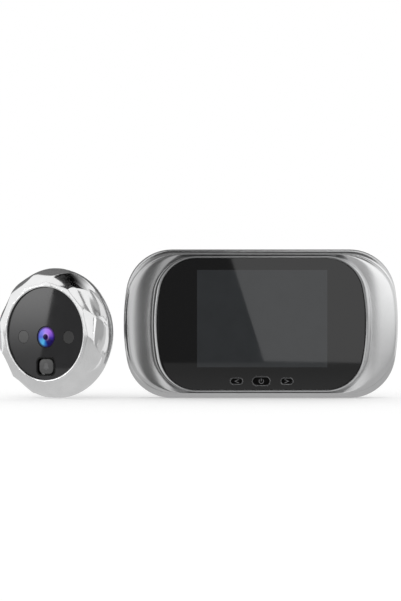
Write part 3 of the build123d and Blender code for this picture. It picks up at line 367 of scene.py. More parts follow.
class Skin:
    """A mesh drawn ring by ring in edit mode, each ring bridged to the one before it.

    Rings lie square to Y. Each is drawn as by hand: a point is placed, extruded along the straight
    stretches and spun round the arcs, or a circle primitive is added and shaped.
    """

    CORNER_STEPS = 14
    SIDE_STEPS = 10
    HOLD_APART = 40 * MM

    def __init__(self, name: str) -> None:
        """Starts an empty mesh in edit mode."""
        self.piece = start_mesh(name)
        self.rings: list[range] = []

    def _points(self) -> bmesh.types.BMVertSeq:
        """The points of the mesh as it stands in edit mode."""
        points = bmesh.from_edit_mesh(self.piece.data).verts
        points.ensure_lookup_table()
        return points

    def _select(self, wanted: Iterable[int]) -> None:
        """Selects only these points and the edges between them.

        Args:
            wanted: the points' numbers.
        """
        bpy.ops.mesh.select_all(action="DESELECT")
        mesh = bmesh.from_edit_mesh(self.piece.data)
        mesh.verts.ensure_lookup_table()
        for index in wanted:
            mesh.verts[index].select_set(True)
        mesh.select_flush(True)
        bmesh.update_edit_mesh(self.piece.data)

    def _bridge(self, first: range, second: range) -> None:
        """Bridges two rings, held apart meanwhile, because rings in one plane would be twisted.

        Args:
            first: the numbers of one ring's points.
            second: the numbers of the other's.
        """
        self._select(second)
        bpy.ops.transform.translate(value=(0, self.HOLD_APART, 0))
        self._select([*first, *second])
        bpy.ops.mesh.bridge_edge_loops()
        self._select(second)
        bpy.ops.transform.translate(value=(0, -self.HOLD_APART, 0))

    def _close_ring(self, start: int) -> None:
        """Notes the ring that begins at a point's number and bridges it to the ring before.

        Args:
            start: the number of its first point.
        """
        self.rings.append(range(start, len(self._points())))
        if len(self.rings) > 1:
            self._bridge(*self.rings[-2:])
        bpy.ops.mesh.select_all(action="DESELECT")

    def pillow(self, outline: Outline, level: float) -> None:
        """Draws a pillow ring.

        Args:
            outline: the ring's shape.
            level: its distance in front of the door.
        """
        start = len(self._points())
        flat, rise, turn = outline.flat, outline.rise, outline.turn
        side = outline.half_width - outline.bulge
        corner, steps = math.pi / 2 - turn, self.CORNER_STEPS
        first = Vector((-flat, -level, outline.half_height))

        def run(length: float) -> None:
            """Extrudes the selected point along X."""
            bpy.ops.mesh.extrude_region_move(TRANSFORM_OT_translate={"value": (length, 0, 0)})

        def arc(x: float, z: float, angle: float, count: int) -> None:
            """Spins the selected point clockwise, as seen from the front."""
            bpy.ops.mesh.spin(steps=count, angle=angle, center=(x, -level, z), axis=(0, -1, 0))

        place_point(first)
        run(2 * flat)
        arc(flat, rise, corner, steps)
        arc(side, 0, 2 * turn, self.SIDE_STEPS)
        arc(flat, -rise, corner, steps)
        run(-2 * flat)
        arc(-flat, -rise, corner, steps)
        arc(-side, 0, 2 * turn, self.SIDE_STEPS)
        arc(-flat, rise, corner - corner / steps, steps - 1)
        points = self._points()
        self._select(
            [i for i in range(start, len(points)) if points[i].select or (points[i].co - first).length < NEAR]
        )
        bpy.ops.mesh.edge_face_add()
        self._close_ring(start)

    def circle(self, radius: float, depth: float, points: int = 48, centre: Point = (0, 0)) -> None:
        """Draws a round ring.

        Args:
            radius: the ring's radius.
            depth: its place along Y.
            points: how many points it has.
            centre: x and z of its middle.
        """
        start = len(self._points())
        place = (centre[0], depth, centre[1])
        bpy.ops.mesh.primitive_circle_add(
            vertices=points, radius=radius, location=place, rotation=(math.pi / 2, 0, 0)
        )
        self._close_ring(start)

    def circles(self, rows: Iterable[Point], points: int = 48, centre: Point = (0, 0)) -> None:
        """Draws round rings, each given by its radius and depth."""
        for radius, depth in rows:
            self.circle(radius, depth, points, centre)

    def polygon(
        self, radius: float, depth: float, sides: int, cuts: int, turn: float, bulge: float
    ) -> None:
        """Draws a regular polygon, its sides divided and bulged, turned clockwise.

        Args:
            radius: from the middle to a corner.
            depth: its place along Y.
            sides: how many sides it has.
            cuts: points added on each side.
            turn: the angle that it is turned by, clockwise as seen from the front.
            bulge: how far the sides go towards the circle through the corners, from 0 to 1.
        """
        start = len(self._points())
        bpy.ops.mesh.primitive_circle_add(
            vertices=sides, radius=radius, location=(0, depth, 0), rotation=(math.pi / 2, turn, 0)
        )
        bpy.ops.mesh.subdivide(number_cuts=cuts)
        if bulge:
            bpy.ops.transform.tosphere(value=bulge)
            corner = self._points()[start].co
            grown = radius / math.hypot(corner.x, corner.z)
            bpy.ops.transform.resize(value=(grown, 1, grown))
        self._close_ring(start)

    def stadium(
        self, width: float, height: float, depth: float, centre: Point, points: int = 32
    ) -> None:
        """Draws a slot-shaped ring: a circle whose halves are moved apart.

        Args:
            width: its overall length along X.
            height: its height, twice the end radius.
            depth: its place along Y.
            centre: x and z of its middle.
            points: how many points it has.
        """
        start = len(self._points())
        bpy.ops.mesh.primitive_circle_add(
            vertices=points,
            radius=height / 2,
            location=(centre[0], depth, centre[1]),
            rotation=(math.pi / 2, math.pi / points, 0),
        )
        for side in (-1, 1):
            ring = self._points()
            self._select([i for i in range(start, start + points) if (ring[i].co.x - centre[0]) * side > 0])
            bpy.ops.transform.translate(value=(side * (width - height) / 2, 0, 0))
        self._close_ring(start)

    def finish(self, ends: Ends) -> Piece:
        """Closes the skin.

        Args:
            ends: how the first and last rings are closed.

        Returns:
            The finished piece in object mode, with its faces outwards.
        """
        first, last = self.rings[0], self.rings[-1]
        if ends is Ends.JOINED:
            self._bridge(first, last)
        else:
            for ring in (first, last):
                self._select(ring)
                bpy.ops.mesh.edge_face_add()
        bpy.ops.mesh.select_all(action="SELECT")
        bpy.ops.mesh.normals_make_consistent(inside=False)
        bpy.ops.object.mode_set(mode="OBJECT")
        return self.piece


def round_off(steps: int, sweep: float = 90.0) -> list[Point]:
    """Sine, and one minus cosine, at equal steps along an arc of some degrees."""
    angles = [math.radians(sweep * step / steps) for step in range(steps + 1)]
    return [(math.sin(angle), 1 - math.cos(angle)) for angle in angles]


def along(table: Sequence[tuple[float, ...]], share: float) -> tuple[float, ...]:
    """Reads a smooth curve through the rows of a table of shares.

    Args:
        table: rows that start with their own share, in rising order.
        share: where the curve is read.

    Returns:
        The other columns at that share.
    """
    last = len(table) - 1
    index = max(i for i in range(last) if table[i][0] <= share or i == 0)
    rows = [table[min(max(index + step, 0), last)] for step in (-1, 0, 1, 2)]
    width = rows[2][0] - rows[1][0]
    t = (share - rows[1][0]) / width
    values = []
    for a, b, c, d in list(zip(*rows))[1:]:
        before = (c - a) / (rows[2][0] - rows[0][0]) * width
        after = (d - b) / (rows[3][0] - rows[1][0]) * width
        value = (2 * t**3 - 3 * t**2 + 1) * b + (3 * t**2 - 2 * t**3) * c
        value += (t**3 - 2 * t**2 + t) * before + (t**3 - t**2) * after
        values.append(value)
    return tuple(values)


# Finishes


class Graph:
    """Short hand for the nodes of a material or a world."""

    def __init__(self, owner: bpy.types.ID, empty: bool = False) -> None:
        """Opens the node tree.

        Args:
            owner: the material or the world.
            empty: deletes the nodes that it starts with.
        """
        owner.use_nodes = True
        self.owner = owner
        self.tree = owner.node_tree
        if empty:
            self.tree.nodes.clear()

    def feed(self, socket: Socket, value: object) -> None:
        """Links a socket to another one or sets its constant.

        Args:
            socket: the input.
            value: a socket, a number, a vector or a colour.
        """
        if isinstance(value, Socket):
            self.tree.links.new(value, socket)
        else:
            socket.default_value = (*value, 1) if socket.type == "RGBA" else value

    def add(
        self, kind: str, inputs: dict[str | int, object] | None = None, **settings: object
    ) -> bpy.types.Node:
        """Adds a node.

        Args:
            kind: its type.
            inputs: what its sockets get, by name or number.
            **settings: its properties.

        Returns:
            The node.
        """
        node = self.tree.nodes.new(kind)
        for name, value in settings.items():
            setattr(node, name, value)
        for name, value in (inputs or {}).items():
            self.feed(node.inputs[name], value)
        return node

    def shader(self, **values: object) -> bpy.types.ID:
        """Sets or links the shader's own sockets.

        Args:
            **values: what they get, by their names with underscores.

        Returns:
            The material.
        """
        for name, value in values.items():
            self.feed(self.tree.nodes["Principled BSDF"].inputs[name.replace("_", " ")], value)
        return self.owner

    def place(self, centre: Sequence[float] = (0, 0, 0), turn: float = 0.0) -> Socket:
        """Object coordinates in metres, moved to a centre and turned about Z."""
        inputs = {"Vector": self.add("ShaderNodeTexCoord").outputs["Object"], "Location": centre}
        inputs["Rotation"] = (0, 0, turn)
        return self.add("ShaderNodeMapping", inputs, vector_type="TEXTURE").outputs["Vector"]

    def split(self, place: Socket) -> bpy.types.NodeOutputs:
        """The X, Y and Z of a vector or colour."""
        return self.add("ShaderNodeSeparateXYZ", {0: place}).outputs

    def noise(self, place: Socket, size: float, detail: float = 3.0) -> Socket:
        """Noise from 0 to 1 whose lumps are about a size in metres."""
        inputs = {"Vector": place, "Scale": 1 / size, "Detail": detail}
        return self.add("ShaderNodeTexNoise", inputs).outputs["Fac"]

    def span(self, source: Socket | float, near: Point, far: Point, **settings: object) -> Socket:
        """Maps values so that near[0] becomes near[1] and far[0] becomes far[1]."""
        inputs = {"Value": source, "From Min": near[0], "From Max": far[0]}
        inputs.update({"To Min": near[1], "To Max": far[1]})
        return self.add("ShaderNodeMapRange", inputs, **settings).outputs["Result"]

    def vary(self, noise: Socket, low: float, high: float) -> Socket:
        """Maps noise from its usual 0.3 to 0.7 to another span."""
        return self.span(noise, (0.3, low), (0.7, high))

    def sum(self, operation: str, *terms: Socket | float) -> Socket:
        """A math node over sockets or numbers."""
        return self.add("ShaderNodeMath", dict(enumerate(terms)), operation=operation).outputs["Value"]

    def mix(self, share: Socket, first: Colour | Socket, second: Colour | Socket) -> Socket:
        """Two colours mixed by a share."""
        inputs = {"Factor": share, "A": first, "B": second}
        return self.add("ShaderNodeMix", inputs, data_type="RGBA", clamp_factor=True).outputs["Result"]


def new_graph(name: str, empty: bool = False) -> Graph:
    """Starts a material."""
    return Graph(bpy.data.materials.new(name), empty)


def shade_of(colour: Colour, share: float) -> Colour:
    """A colour made lighter or darker by a share."""
    return tuple(min(1.0, channel * share) for channel in colour)


@dataclass(frozen=True)
class Finish:
    """Surface with a colour that varies a little, a fine speckle, an uneven gloss and a soft relief."""

    name: str
    colour: Colour
    roughness: float
    metallic: float = 0.0
    variation: float = 0.04
    patch: float = 8 * MM
    speckle: float = 0.3 * MM
    speckle_depth: float = 0.03
    gloss_spread: float = 0.02
    relief: float = 2.5 * MM
    relief_depth: float = 0.0
    coat: float = 0.0
    coat_roughness: float = 0.1
    specular: float = 0.5

    def material(self) -> bpy.types.Material:
        """Builds the material.

        Returns:
            The material.
        """
        graph = new_graph(self.name)
        place = graph.place()
        patches = graph.noise(place, self.patch)
        speckles = graph.noise(place, self.speckle, detail=1.0)
        dark, light = (shade_of(self.colour, 1 + way * self.variation) for way in (-1, 1))
        body = graph.mix(graph.vary(patches, 0, 1), dark, light)
        fleck = graph.vary(speckles, 1 - self.speckle_depth, 1 + self.speckle_depth)
        if self.relief_depth:
            relief = {"Strength": 1.0, "Distance": self.relief_depth}
            relief["Height"] = graph.noise(place, self.relief, detail=2.0)
            graph.shader(Normal=graph.add("ShaderNodeBump", relief).outputs["Normal"])
        colour = graph.add("ShaderNodeVectorMath", {0: body, "Scale": fleck}, operation="SCALE")
        spread = self.gloss_spread
        return graph.shader(
            Base_Color=colour.outputs[0],
            Roughness=graph.vary(patches, self.roughness - spread, self.roughness + spread),
            Metallic=self.metallic,
            Coat_Weight=self.coat,
            Coat_Roughness=self.coat_roughness,
            Specular_IOR_Level=self.specular,
        )


@dataclass(frozen=True)
class DisplayGlass:
    """Front glass: black print at the border, clear over the display, which shows dark grey-blue."""

    print_colour: Colour = (0.006, 0.006, 0.0062)
    display_colour: Colour = (0.024, 0.026, 0.028)
    lift: float = 1.12
    patch: float = 9 * MM
    roughness: float = 0.02
    roughest: float = 0.032
    edge: float = 0.05 * MM
    centre: tuple[float, float, float] = (0.4 * MM, 0.0, 2.4 * MM)
    half_width: float = 29.5 * MM
    half_height: float = 22.05 * MM

    def material(self) -> bpy.types.Material:
        """Builds the material.

        Returns:
            The material.
        """
        graph = new_graph("display_glass")
        axes = graph.split(graph.place(self.centre))
        inside = [
            graph.sum("DIVIDE", graph.sum("SUBTRACT", half, graph.sum("ABSOLUTE", axes[axis])), self.edge)
            for axis, half in (("X", self.half_width), ("Z", self.half_height))
        ]
        patches = graph.noise(graph.place(), self.patch)
        display = self.display_colour
        lit = graph.mix(graph.vary(patches, 0, 1), display, shade_of(display, self.lift))
        return graph.shader(
            Base_Color=graph.mix(graph.sum("MINIMUM", *inside), self.print_colour, lit),
            Roughness=graph.vary(patches, self.roughness, self.roughest),
        )


@dataclass(frozen=True)
class PaintedLensReflection:
    """Lens glass with a painted reflection: violet above, blue below left and dark below right, and a painted
    highlight round the pupil.
    """

    stand: "OutdoorStand"
    centre: Point
    radius: float
    # Places round the glass, from the left over the bottom, the right and the top to the left again, with the
    # painted reflection's colour there
    reflection_hues: tuple[tuple[float, Colour], ...] = (
        (0.0, (0.1, 0.14, 0.69)),
        (0.1, (0.09, 0.4, 0.78)),
        (0.17, (0.1, 0.5, 0.85)),
        (0.24, (0.015, 0.12, 0.5)),
        (0.3, (0.005, 0.002, 0.13)),
        (0.42, (0.004, 0.0, 0.08)),
        (0.48, (0.04, 0.015, 0.33)),
        (0.55, (0.2, 0.07, 0.6)),
        (0.64, (0.4, 0.15, 0.85)),
        (0.75, (0.44, 0.25, 0.98)),
        (0.88, (0.2, 0.22, 0.88)),
        (1.0, (0.1, 0.14, 0.69)),
    )
    # Places from the middle to the edge: how much of the painted reflection's hue shows, and how much painted
    # highlight
    rings: tuple[tuple[float, Colour], ...] = (
        (0.0, (0.0, 0.0, 0.0)),
        (0.25, (0.02, 0.0, 0.0)),
        (0.34, (0.9, 0.4, 0.0)),
        (0.46, (1.0, 0.06, 0.0)),
        (0.78, (1.0, 0.0, 0.0)),
        (0.9, (0.28, 0.0, 0.0)),
        (1.0, (0.12, 0.0, 0.0)),
    )
    dark: Colour = (0.012, 0.002, 0.05)
    # Colour of the painted highlight
    pale: Colour = (0.8, 0.5, 1.0)

    def _ramp(self, graph: Graph, rows: Sequence[tuple[float, Colour]], place: Socket) -> Socket:
        """A colour ramp.

        Args:
            graph: the material's nodes.
            rows: the places of its stops and their colours.
            place: where it is read.

        Returns:
            Its colour.
        """
        node = graph.add("ShaderNodeValToRGB", {"Fac": place})
        stops = node.color_ramp.elements
        for stop_place, _ in rows[1:-1]:
            stops.new(stop_place)
        for stop, (_, colour) in zip(stops, rows):
            stop.color = (*colour, 1)
        return node.outputs["Color"]

    def material(self) -> bpy.types.Material:
        """Builds the material.

        Returns:
            The material.
        """
        graph = new_graph("lens_painted_reflection")
        origin, turn = self.stand.pose()
        middle = origin + Matrix.Rotation(turn, 3, "Z") @ Vector((self.centre[0], 0, self.centre[1]))
        axes = graph.split(graph.place(middle, turn))
        x, z = (graph.sum("DIVIDE", axes[axis], self.radius) for axis in "XZ")
        squares = graph.sum("ADD", graph.sum("MULTIPLY", x, x), graph.sum("MULTIPLY", z, z))
        angle = graph.sum("MULTIPLY_ADD", graph.sum("ARCTAN2", z, x), 0.5 / math.pi, 0.5)
        parts = graph.split(self._ramp(graph, self.rings, graph.sum("SQRT", squares)))
        # Painted reflection: the hue round the glass, laid over the lens's own dark by ring
        body = graph.mix(parts["X"], self.dark, self._ramp(graph, self.reflection_hues, angle))
        # Painted highlight: its share grows towards the upper right of the glass
        above = graph.sum("ADD", graph.sum("ADD", x, z), 0.5)
        pale = graph.mix(graph.sum("MULTIPLY", parts["Y"], above), body, self.pale)
        return graph.shader(Base_Color=pale, Roughness=0.05, Specular_IOR_Level=0.15)


SILVER = Finish(
    "silver_lacquer", (0.6, 0.602, 0.605), 0.25, metallic=1.0, variation=0.015, speckle=0.6 * MM,
    speckle_depth=0.004, gloss_spread=0.01,
)
COVER = Finish(
    "silver_cover", (0.68, 0.682, 0.685), 0.36, metallic=1.0, speckle=0.5 * MM, speckle_depth=0.012
)
BRIGHT = Finish("bright_trim", (0.44, 0.442, 0.445), 0.14, metallic=1.0, speckle_depth=0.01)
METAL = Finish("polished_cast_metal", (0.85, 0.852, 0.855), 0.13, metallic=1.0, speckle_depth=0.01)
STEM_METAL = Finish("turned_stem", (0.62, 0.62, 0.63), 0.25, metallic=1.0)
KEY_RIM = Finish("dark_chrome", (0.13, 0.131, 0.133), 0.18, metallic=1.0, speckle_depth=0.01)
BLACK = Finish("button_black", (0.001, 0.001, 0.001), 0.3, specular=0.06)
PRINT = Finish("button_print", (0.15, 0.15, 0.155), 0.4)
BELL_PRINT = Finish("bell_print", (0.11, 0.11, 0.112), 0.4)
BEZEL = Finish("bezel_black", (0.004, 0.004, 0.004), 0.5, specular=0.2)
OUTDOOR_GLASS = Finish("outdoor_glass", (0.027, 0.027, 0.028), 0.03, gloss_spread=0.01)
LAMP_GLASS = Finish("smoky_lamp_glass", (0.055, 0.055, 0.055), 0.06)
LENS_BLACK = Finish("lens_black", (0.015, 0.014, 0.02), 0.25)
BELL_CAP = Finish("bell_cap_grey", (0.07, 0.07, 0.07), 0.3, speckle_depth=0.012)
FOAM = Finish(
    "black_foam", (0.018, 0.018, 0.018), 0.85, relief=0.9 * MM, relief_depth=0.15 * MM, speckle_depth=0.3
)
DARK = Finish("dark_plastic", (0.02, 0.02, 0.021), 0.42, speckle=0.4 * MM, speckle_depth=0.15)

SLOT_FINISHES = {
    "silver_case": SILVER,
    "case_cover": COVER,
    "bright_trim": BRIGHT,
    "front_glass": OUTDOOR_GLASS,
    "outdoor_glass": OUTDOOR_GLASS,
    "lamp_glass": LAMP_GLASS,
    "adhesive": Finish("black_adhesive", (0.01, 0.01, 0.01), 0.6),
    "lcd_glass": Finish("display_panel", (0.03, 0.033, 0.036), 0.15),
    "thin_steel": Finish("thin_steel", (0.55, 0.55, 0.56), 0.3, metallic=1.0),
    "polyimide": Finish("flat_cable", (0.35, 0.14, 0.03), 0.3, coat=0.3),
    "board": Finish("circuit_board", (0.02, 0.12, 0.05), 0.35, variation=0.2),
    "connector": Finish("socket_white", (0.7, 0.68, 0.62), 0.4),
    "fastener": Finish("plated_screw", (0.6, 0.6, 0.6), 0.25, metallic=1.0),
    "switch_body": DARK,
    "button_black": BLACK,
    "cell": Finish("cell_wrap", (0.05, 0.16, 0.34), 0.25, coat=0.5),
    "contact": Finish("nickel_contact", (0.65, 0.62, 0.56), 0.25, metallic=1.0),
    "gasket": FOAM,
    "speaker_paper": Finish("speaker_paper", (0.03, 0.03, 0.03), 0.8, speckle_depth=0.3),
    "bracket_steel": Finish(
        "bracket_steel", (0.6, 0.6, 0.61), 0.34, metallic=1.0, speckle=0.4 * MM, speckle_depth=0.012
    ),
    "outdoor_metal": METAL,
    "outdoor_back": DARK,
    "lens_black": LENS_BLACK,
    "lens_glass": Finish("inner_lens", (0.03, 0.02, 0.08), 0.05, coat=1.0),
    "sensor": Finish("sensor", (0.03, 0.06, 0.09), 0.15, coat=0.5),
    "lamp_epoxy": Finish("lamp_epoxy", (0.06, 0.05, 0.08), 0.1, coat=0.6),
    "bell_cap": BELL_CAP,
    "stem_metal": STEM_METAL,
    "nut_brass": Finish("nut_brass", (0.62, 0.45, 0.18), 0.3, metallic=1.0),
}


# Sizes shared by the pieces of each unit


def front_of(node: str) -> float:
    """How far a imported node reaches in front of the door."""
    return -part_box(node)[0].y


def back_of(node: str) -> float:
    """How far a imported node's back stands in front of the door."""
    return -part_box(node)[1].y


def size_of(node: str) -> tuple[float, float, Point]:
    """Width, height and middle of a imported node, seen from the front."""
    low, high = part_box(node)
    return high.x - low.x, high.z - low.z, ((low.x + high.x) / 2, (low.z + high.z) / 2)


def pillow_round(node: str, corner: float, bulge: float) -> Outline:
    """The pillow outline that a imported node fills, by the radius of its corners and its sides."""
    width, height, _ = size_of(node)
    return Outline(width / 2, height / 2, corner, bulge)


@dataclass(frozen=True)
class IndoorForm:
    """Outlines of the indoor unit."""

    case: Outline
    trim: Outline
    glass: Outline
    seam_side_inset: float = 0.4 * MM
    seam_top_inset: float = 2.2 * MM
    seam_corner: float = 23.0 * MM
    seam_bulge: float = 84.0 * MM

    @classmethod
    def from_frame(cls) -> "IndoorForm":
        """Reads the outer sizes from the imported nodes.

        Returns:
            The form.
        """
        return cls(
            case=pillow_round("rear_housing", corner=21 * MM, bulge=103 * MM),
            trim=pillow_round("trim_ring", corner=19.5 * MM, bulge=100 * MM),
            glass=pillow_round("front_glass", corner=17 * MM, bulge=84 * MM),
        )

    @property
    def seam(self) -> Outline:
        """The outline where the rear housing meets the fascia."""
        half_width = self.case.half_width - self.seam_side_inset
        half_height = self.case.half_height - self.seam_top_inset
        return Outline(half_width, half_height, self.seam_corner, self.seam_bulge)


def slot_tool(key: str, margin: float, front: float, back: float) -> Piece:
    """The tool that cuts a button's slot.

    Args:
        key: the button's name.
        margin: how far the slot reaches past the button's rim.
        front: where the tool starts, along Y.
        back: where it ends.

    Returns:
        The tool.
    """
    width, height, centre = size_of(f"{key}_button_rim")
    skin = Skin("opening")
    for depth in (front, back):
        skin.stadium(width + 2 * margin, height + 2 * margin, depth, centre)
    return skin.finish(Ends.CAPPED)


def settle(piece: Piece, finish: Surface, node: str = "", body: str = "monitor") -> Piece:
    """Dresses a finished piece and ties it to its body.

    Args:
        piece: the finished piece.
        finish: what it is dressed in.
        node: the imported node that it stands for, if any.
        body: the body it rides on.

    Returns:
        The piece.
    """
    piece.data.materials.clear()
    piece.data.materials.append(finish.material())
    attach(piece, body)
    if node:
        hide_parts(node)
    return piece


# The indoor unit


@dataclass
class RearHousing:
    """The silver bowl behind the front, with the openings in its back."""

    form: IndoorForm
    wall: float = 1.8 * MM
    back_round: float = 2.2 * MM
    round_steps: int = 6
    straight: float = 12.0 * MM
    lip_wall: float = 1.5 * MM
    recess_level: float = 1.5 * MM
    recess_margin: float = 0.5 * MM
    recess_corner: float = 4.5 * MM
    unhook: float = 4.3 * MM
    bay_depth: float = 12.6 * MM
    bay_wall: float = 0.9 * MM
    bay_inset: float = 1.0 * MM
    cover_margin: float = 0.2 * MM
    cover_seat: float = 1.3 * MM
    cover_corner: float = 6.0 * MM
    hook_sides: Point = (-12.5 * MM, 12.5 * MM)
    hook_tops: Point = (-15.15 * MM, 16.85 * MM)
    hook_slot: Point = (5.6 * MM, 6.0 * MM)
    cable_window: Point = (12.0 * MM, 8.0 * MM)
    cable_window_z: float = 9.0 * MM
    screw_places: tuple[Point, ...] = (
        (-39.0 * MM, -28.0 * MM), (-39.0 * MM, 28.0 * MM), (50.0 * MM, -19.0 * MM), (50.0 * MM, 19.0 * MM),
    )
    screw_radius: float = 1.85 * MM
    screw_depth: float = 5.0 * MM
    grille_radius: float = 0.8 * MM
    grille_spacing: float = 3.1 * MM
    grille_rings: int = 2

    def _bowl(self) -> Piece:
        """The outer and inner skins, joined at the lip.

        Returns:
            The piece without its openings.
        """
        case, seam = self.form.case, self.form.seam
        back, front = back_of("rear_housing"), front_of("rear_housing")
        skin = Skin("rear_shell")
        for rise, run in round_off(self.round_steps):
            skin.pillow(case.inset(self.back_round * (1 - rise)), back + self.back_round * run)
        for rise, run in round_off(self.round_steps):
            skin.pillow(case.blend(seam, run), self.straight + (front - self.straight) * rise)
        skin.pillow(seam.inset(self.lip_wall), front)
        skin.pillow(case.inset(self.wall), self.straight)
        skin.pillow(case.inset(self.wall), back + self.wall)
        return skin.finish(Ends.CAPPED)

    def _grille(self) -> list[Point]:
        """Middles of the grille's holes over the speaker.

        Returns:
            Their x and z.
        """
        low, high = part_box("speaker_frame")
        x, _, z = (low + high) / 2
        places = [(x, z)]
        for ring in range(1, self.grille_rings + 1):
            reach = ring * self.grille_spacing
            for hole in range(6 * ring):
                angle = math.radians(60 * hole / ring)
                places.append((x + reach * math.cos(angle), z + reach * math.sin(angle)))
        return places

    def _around(
        self, node: str, margin: float, below: float, levels: Point, corner: float = 0.0
    ) -> Piece:
        """A block round a node.

        Args:
            node: the node's name.
            margin: how much larger it is on all sides.
            below: how much farther it reaches down.
            levels: where it starts and ends.
            corner: radius of its corners.

        Returns:
            The block.
        """
        low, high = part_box(node)
        lowest = (low.x - margin, -levels[1], low.z - margin - below)
        return block("tool", lowest, (high.x + margin, -levels[0], high.z + margin), corner)

    def _holes(self, floor: float, back: float) -> list[Piece]:
        """The tools for the openings.

        Args:
            floor: level of the inner face of the bracket's recess.
            back: level of the housing's back.

        Returns:
            The tools.
        """
        recess = (-OVERRUN, self.recess_level)
        rebate = (-OVERRUN, back + self.cover_seat)
        holes = [
            self._around("door_bracket", self.recess_margin, self.unhook, recess, self.recess_corner),
            self._around("battery_cover", -self.bay_inset, 0, (-OVERRUN, self.bay_depth)),
            self._around("battery_cover", self.cover_margin, 0, rebate, self.cover_corner),
        ]
        width, height = self.hook_slot
        for x, top in product(self.hook_sides, self.hook_tops):
            lowest = (x - width / 2, -floor - OVERRUN, top - height)
            highest = (x + width / 2, -self.recess_level + OVERRUN / 2, top)
            holes.append(block("slot", lowest, highest))
        width, height = self.cable_window
        lowest = (-width / 2, -floor - OVERRUN, self.cable_window_z - height / 2)
        holes.append(block("window", lowest, (width / 2, 0, self.cable_window_z + height / 2)))
        for x, z in self.screw_places:
            centre = (x, -self.screw_depth / 2, z)
            holes.append(rod("screw_hole", centre, self.screw_radius, self.screw_depth, sides=24))
        for x, z in self._grille():
            centre = (x, -back - self.wall / 2, z)
            holes.append(rod("grille_hole", centre, self.grille_radius, 4 * OVERRUN, sides=16))
        return holes

    def build(self) -> list[Piece]:
        """Models the housing.

        Returns:
            The piece in place of its node.
        """
        piece = self._bowl()
        back = back_of("rear_housing")
        inner = back + self.back_round / 2
        floor = self.recess_level + self.lip_wall
        slab = self._around("door_bracket", self.recess_margin + self.lip_wall, self.unhook, (inner, floor))
        combine(piece, slab, Cut.ADD)
        levels = (inner, self.bay_depth + self.bay_wall)
        combine(piece, self._around("battery_cover", self.bay_wall - self.bay_inset, 0, levels), Cut.ADD)
        for hole in self._holes(floor, back):
            combine(piece, hole, Cut.TAKE_AWAY)
        shade(piece, 30)
        return [settle(piece, SILVER, "rear_housing")]


@dataclass
class Fascia:
    """The front of the case: pillow wings at both sides, a valley for the trim and a seat for the glass."""

    form: IndoorForm
    edge_level: float = 15.25 * MM
    tongue_length: float = 1.6 * MM
    tongue_gap: float = 1.7 * MM
    tongue_wall: float = 1.2 * MM
    floor_level: float = 15.8 * MM
    seat_level: float = 17.4 * MM
    seat_gap: float = 0.1 * MM
    edge_round: float = 0.25 * MM
    fit_gap: float = 0.2 * MM
    steps: int = 22
    # Across the wing from the seam to the trim, and up from the edge to the crest
    wing_shares: tuple[Point, ...] = (
        (0.0, 0.0),
        (0.03, 0.42),
        (0.1, 0.75),
        (0.22, 0.94),
        (0.38, 1.0),
        (0.7, 0.87),
        (1.0, 0.69),
    )

    def _skin(self) -> Piece:
        """The outer face over the wings and the hollow behind it.

        Returns:
            The piece without its openings.
        """
        seam, trim, edge = self.form.seam, self.form.trim, self.edge_level
        rise = front_of("front_fascia") - edge
        tongue = seam.inset(self.tongue_gap)
        hollow = tongue.inset(self.tongue_wall)
        seat = self.form.glass.inset(self.seat_gap)
        skin = Skin("fascia_wings")
        skin.pillow(hollow, self.floor_level)
        skin.pillow(hollow, edge - self.tongue_length)
        skin.pillow(tongue, edge - self.tongue_length)
        skin.pillow(tongue, edge)
        skin.pillow(seam.inset(self.edge_round), edge)
        for step in range(self.steps + 1):
            across = (step / self.steps) ** 2
            (up,) = along(self.wing_shares, across)
            skin.pillow(seam.blend(trim, across), edge + rise * up)
        skin.pillow(seat, back_of("trim_ring"))
        skin.pillow(seat, self.seat_level)
        return skin.finish(Ends.CAPPED)

    def build(self) -> list[Piece]:
        """Models the fascia with its openings for the display and the buttons.

        Returns:
            The piece in place of its node.
        """
        piece = self._skin()
        low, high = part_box("lcd_backlight")
        gap = self.fit_gap
        front, back = -self.seat_level - OVERRUN, -self.floor_level + OVERRUN
        holes = [block("opening", (low.x - gap, front, low.z - gap), (high.x + gap, back, high.z + gap))]
        holes += [slot_tool(key, -RIM_WALL, front, back) for key in KEY_NAMES]
        for hole in holes:
            combine(piece, hole, Cut.TAKE_AWAY)
        shade(piece, 35)
        return [settle(piece, SILVER, "front_fascia")]


@dataclass
class TrimRing:
    """The bright frame round the glass, wide at the sides and thin above and below."""

    form: IndoorForm
    crest_start: float = 0.37
    crest_end: float = 0.53
    wall_inset: float = 0.14 * MM
    glass_gap: float = 0.03 * MM
    steps: int = 6

    def build(self) -> list[Piece]:
        """Models the ring with a rounded crest.

        Returns:
            The piece in place of its node.
        """
        foot, shoulder = back_of("trim_ring"), front_of("front_glass")
        outer = self.form.trim.inset(self.wall_inset)
        inner = self.form.glass.inset(-self.glass_gap)
        height = front_of("trim_ring") - shoulder
        arc = round_off(self.steps)
        rows = [(self.crest_start * run, rise) for rise, run in arc]
        rows += [(self.crest_end + (1 - self.crest_end) * (1 - run), rise) for rise, run in reversed(arc)]
        skin = Skin("bright_trim_ring")
        skin.pillow(self.form.trim, foot)
        for share, rise in rows:
            skin.pillow(outer.blend(inner, share), shoulder + height * rise)
        skin.pillow(inner, foot)
        piece = skin.finish(Ends.JOINED)
        shade(piece, 40)
        return [settle(piece, BRIGHT, "trim_ring")]


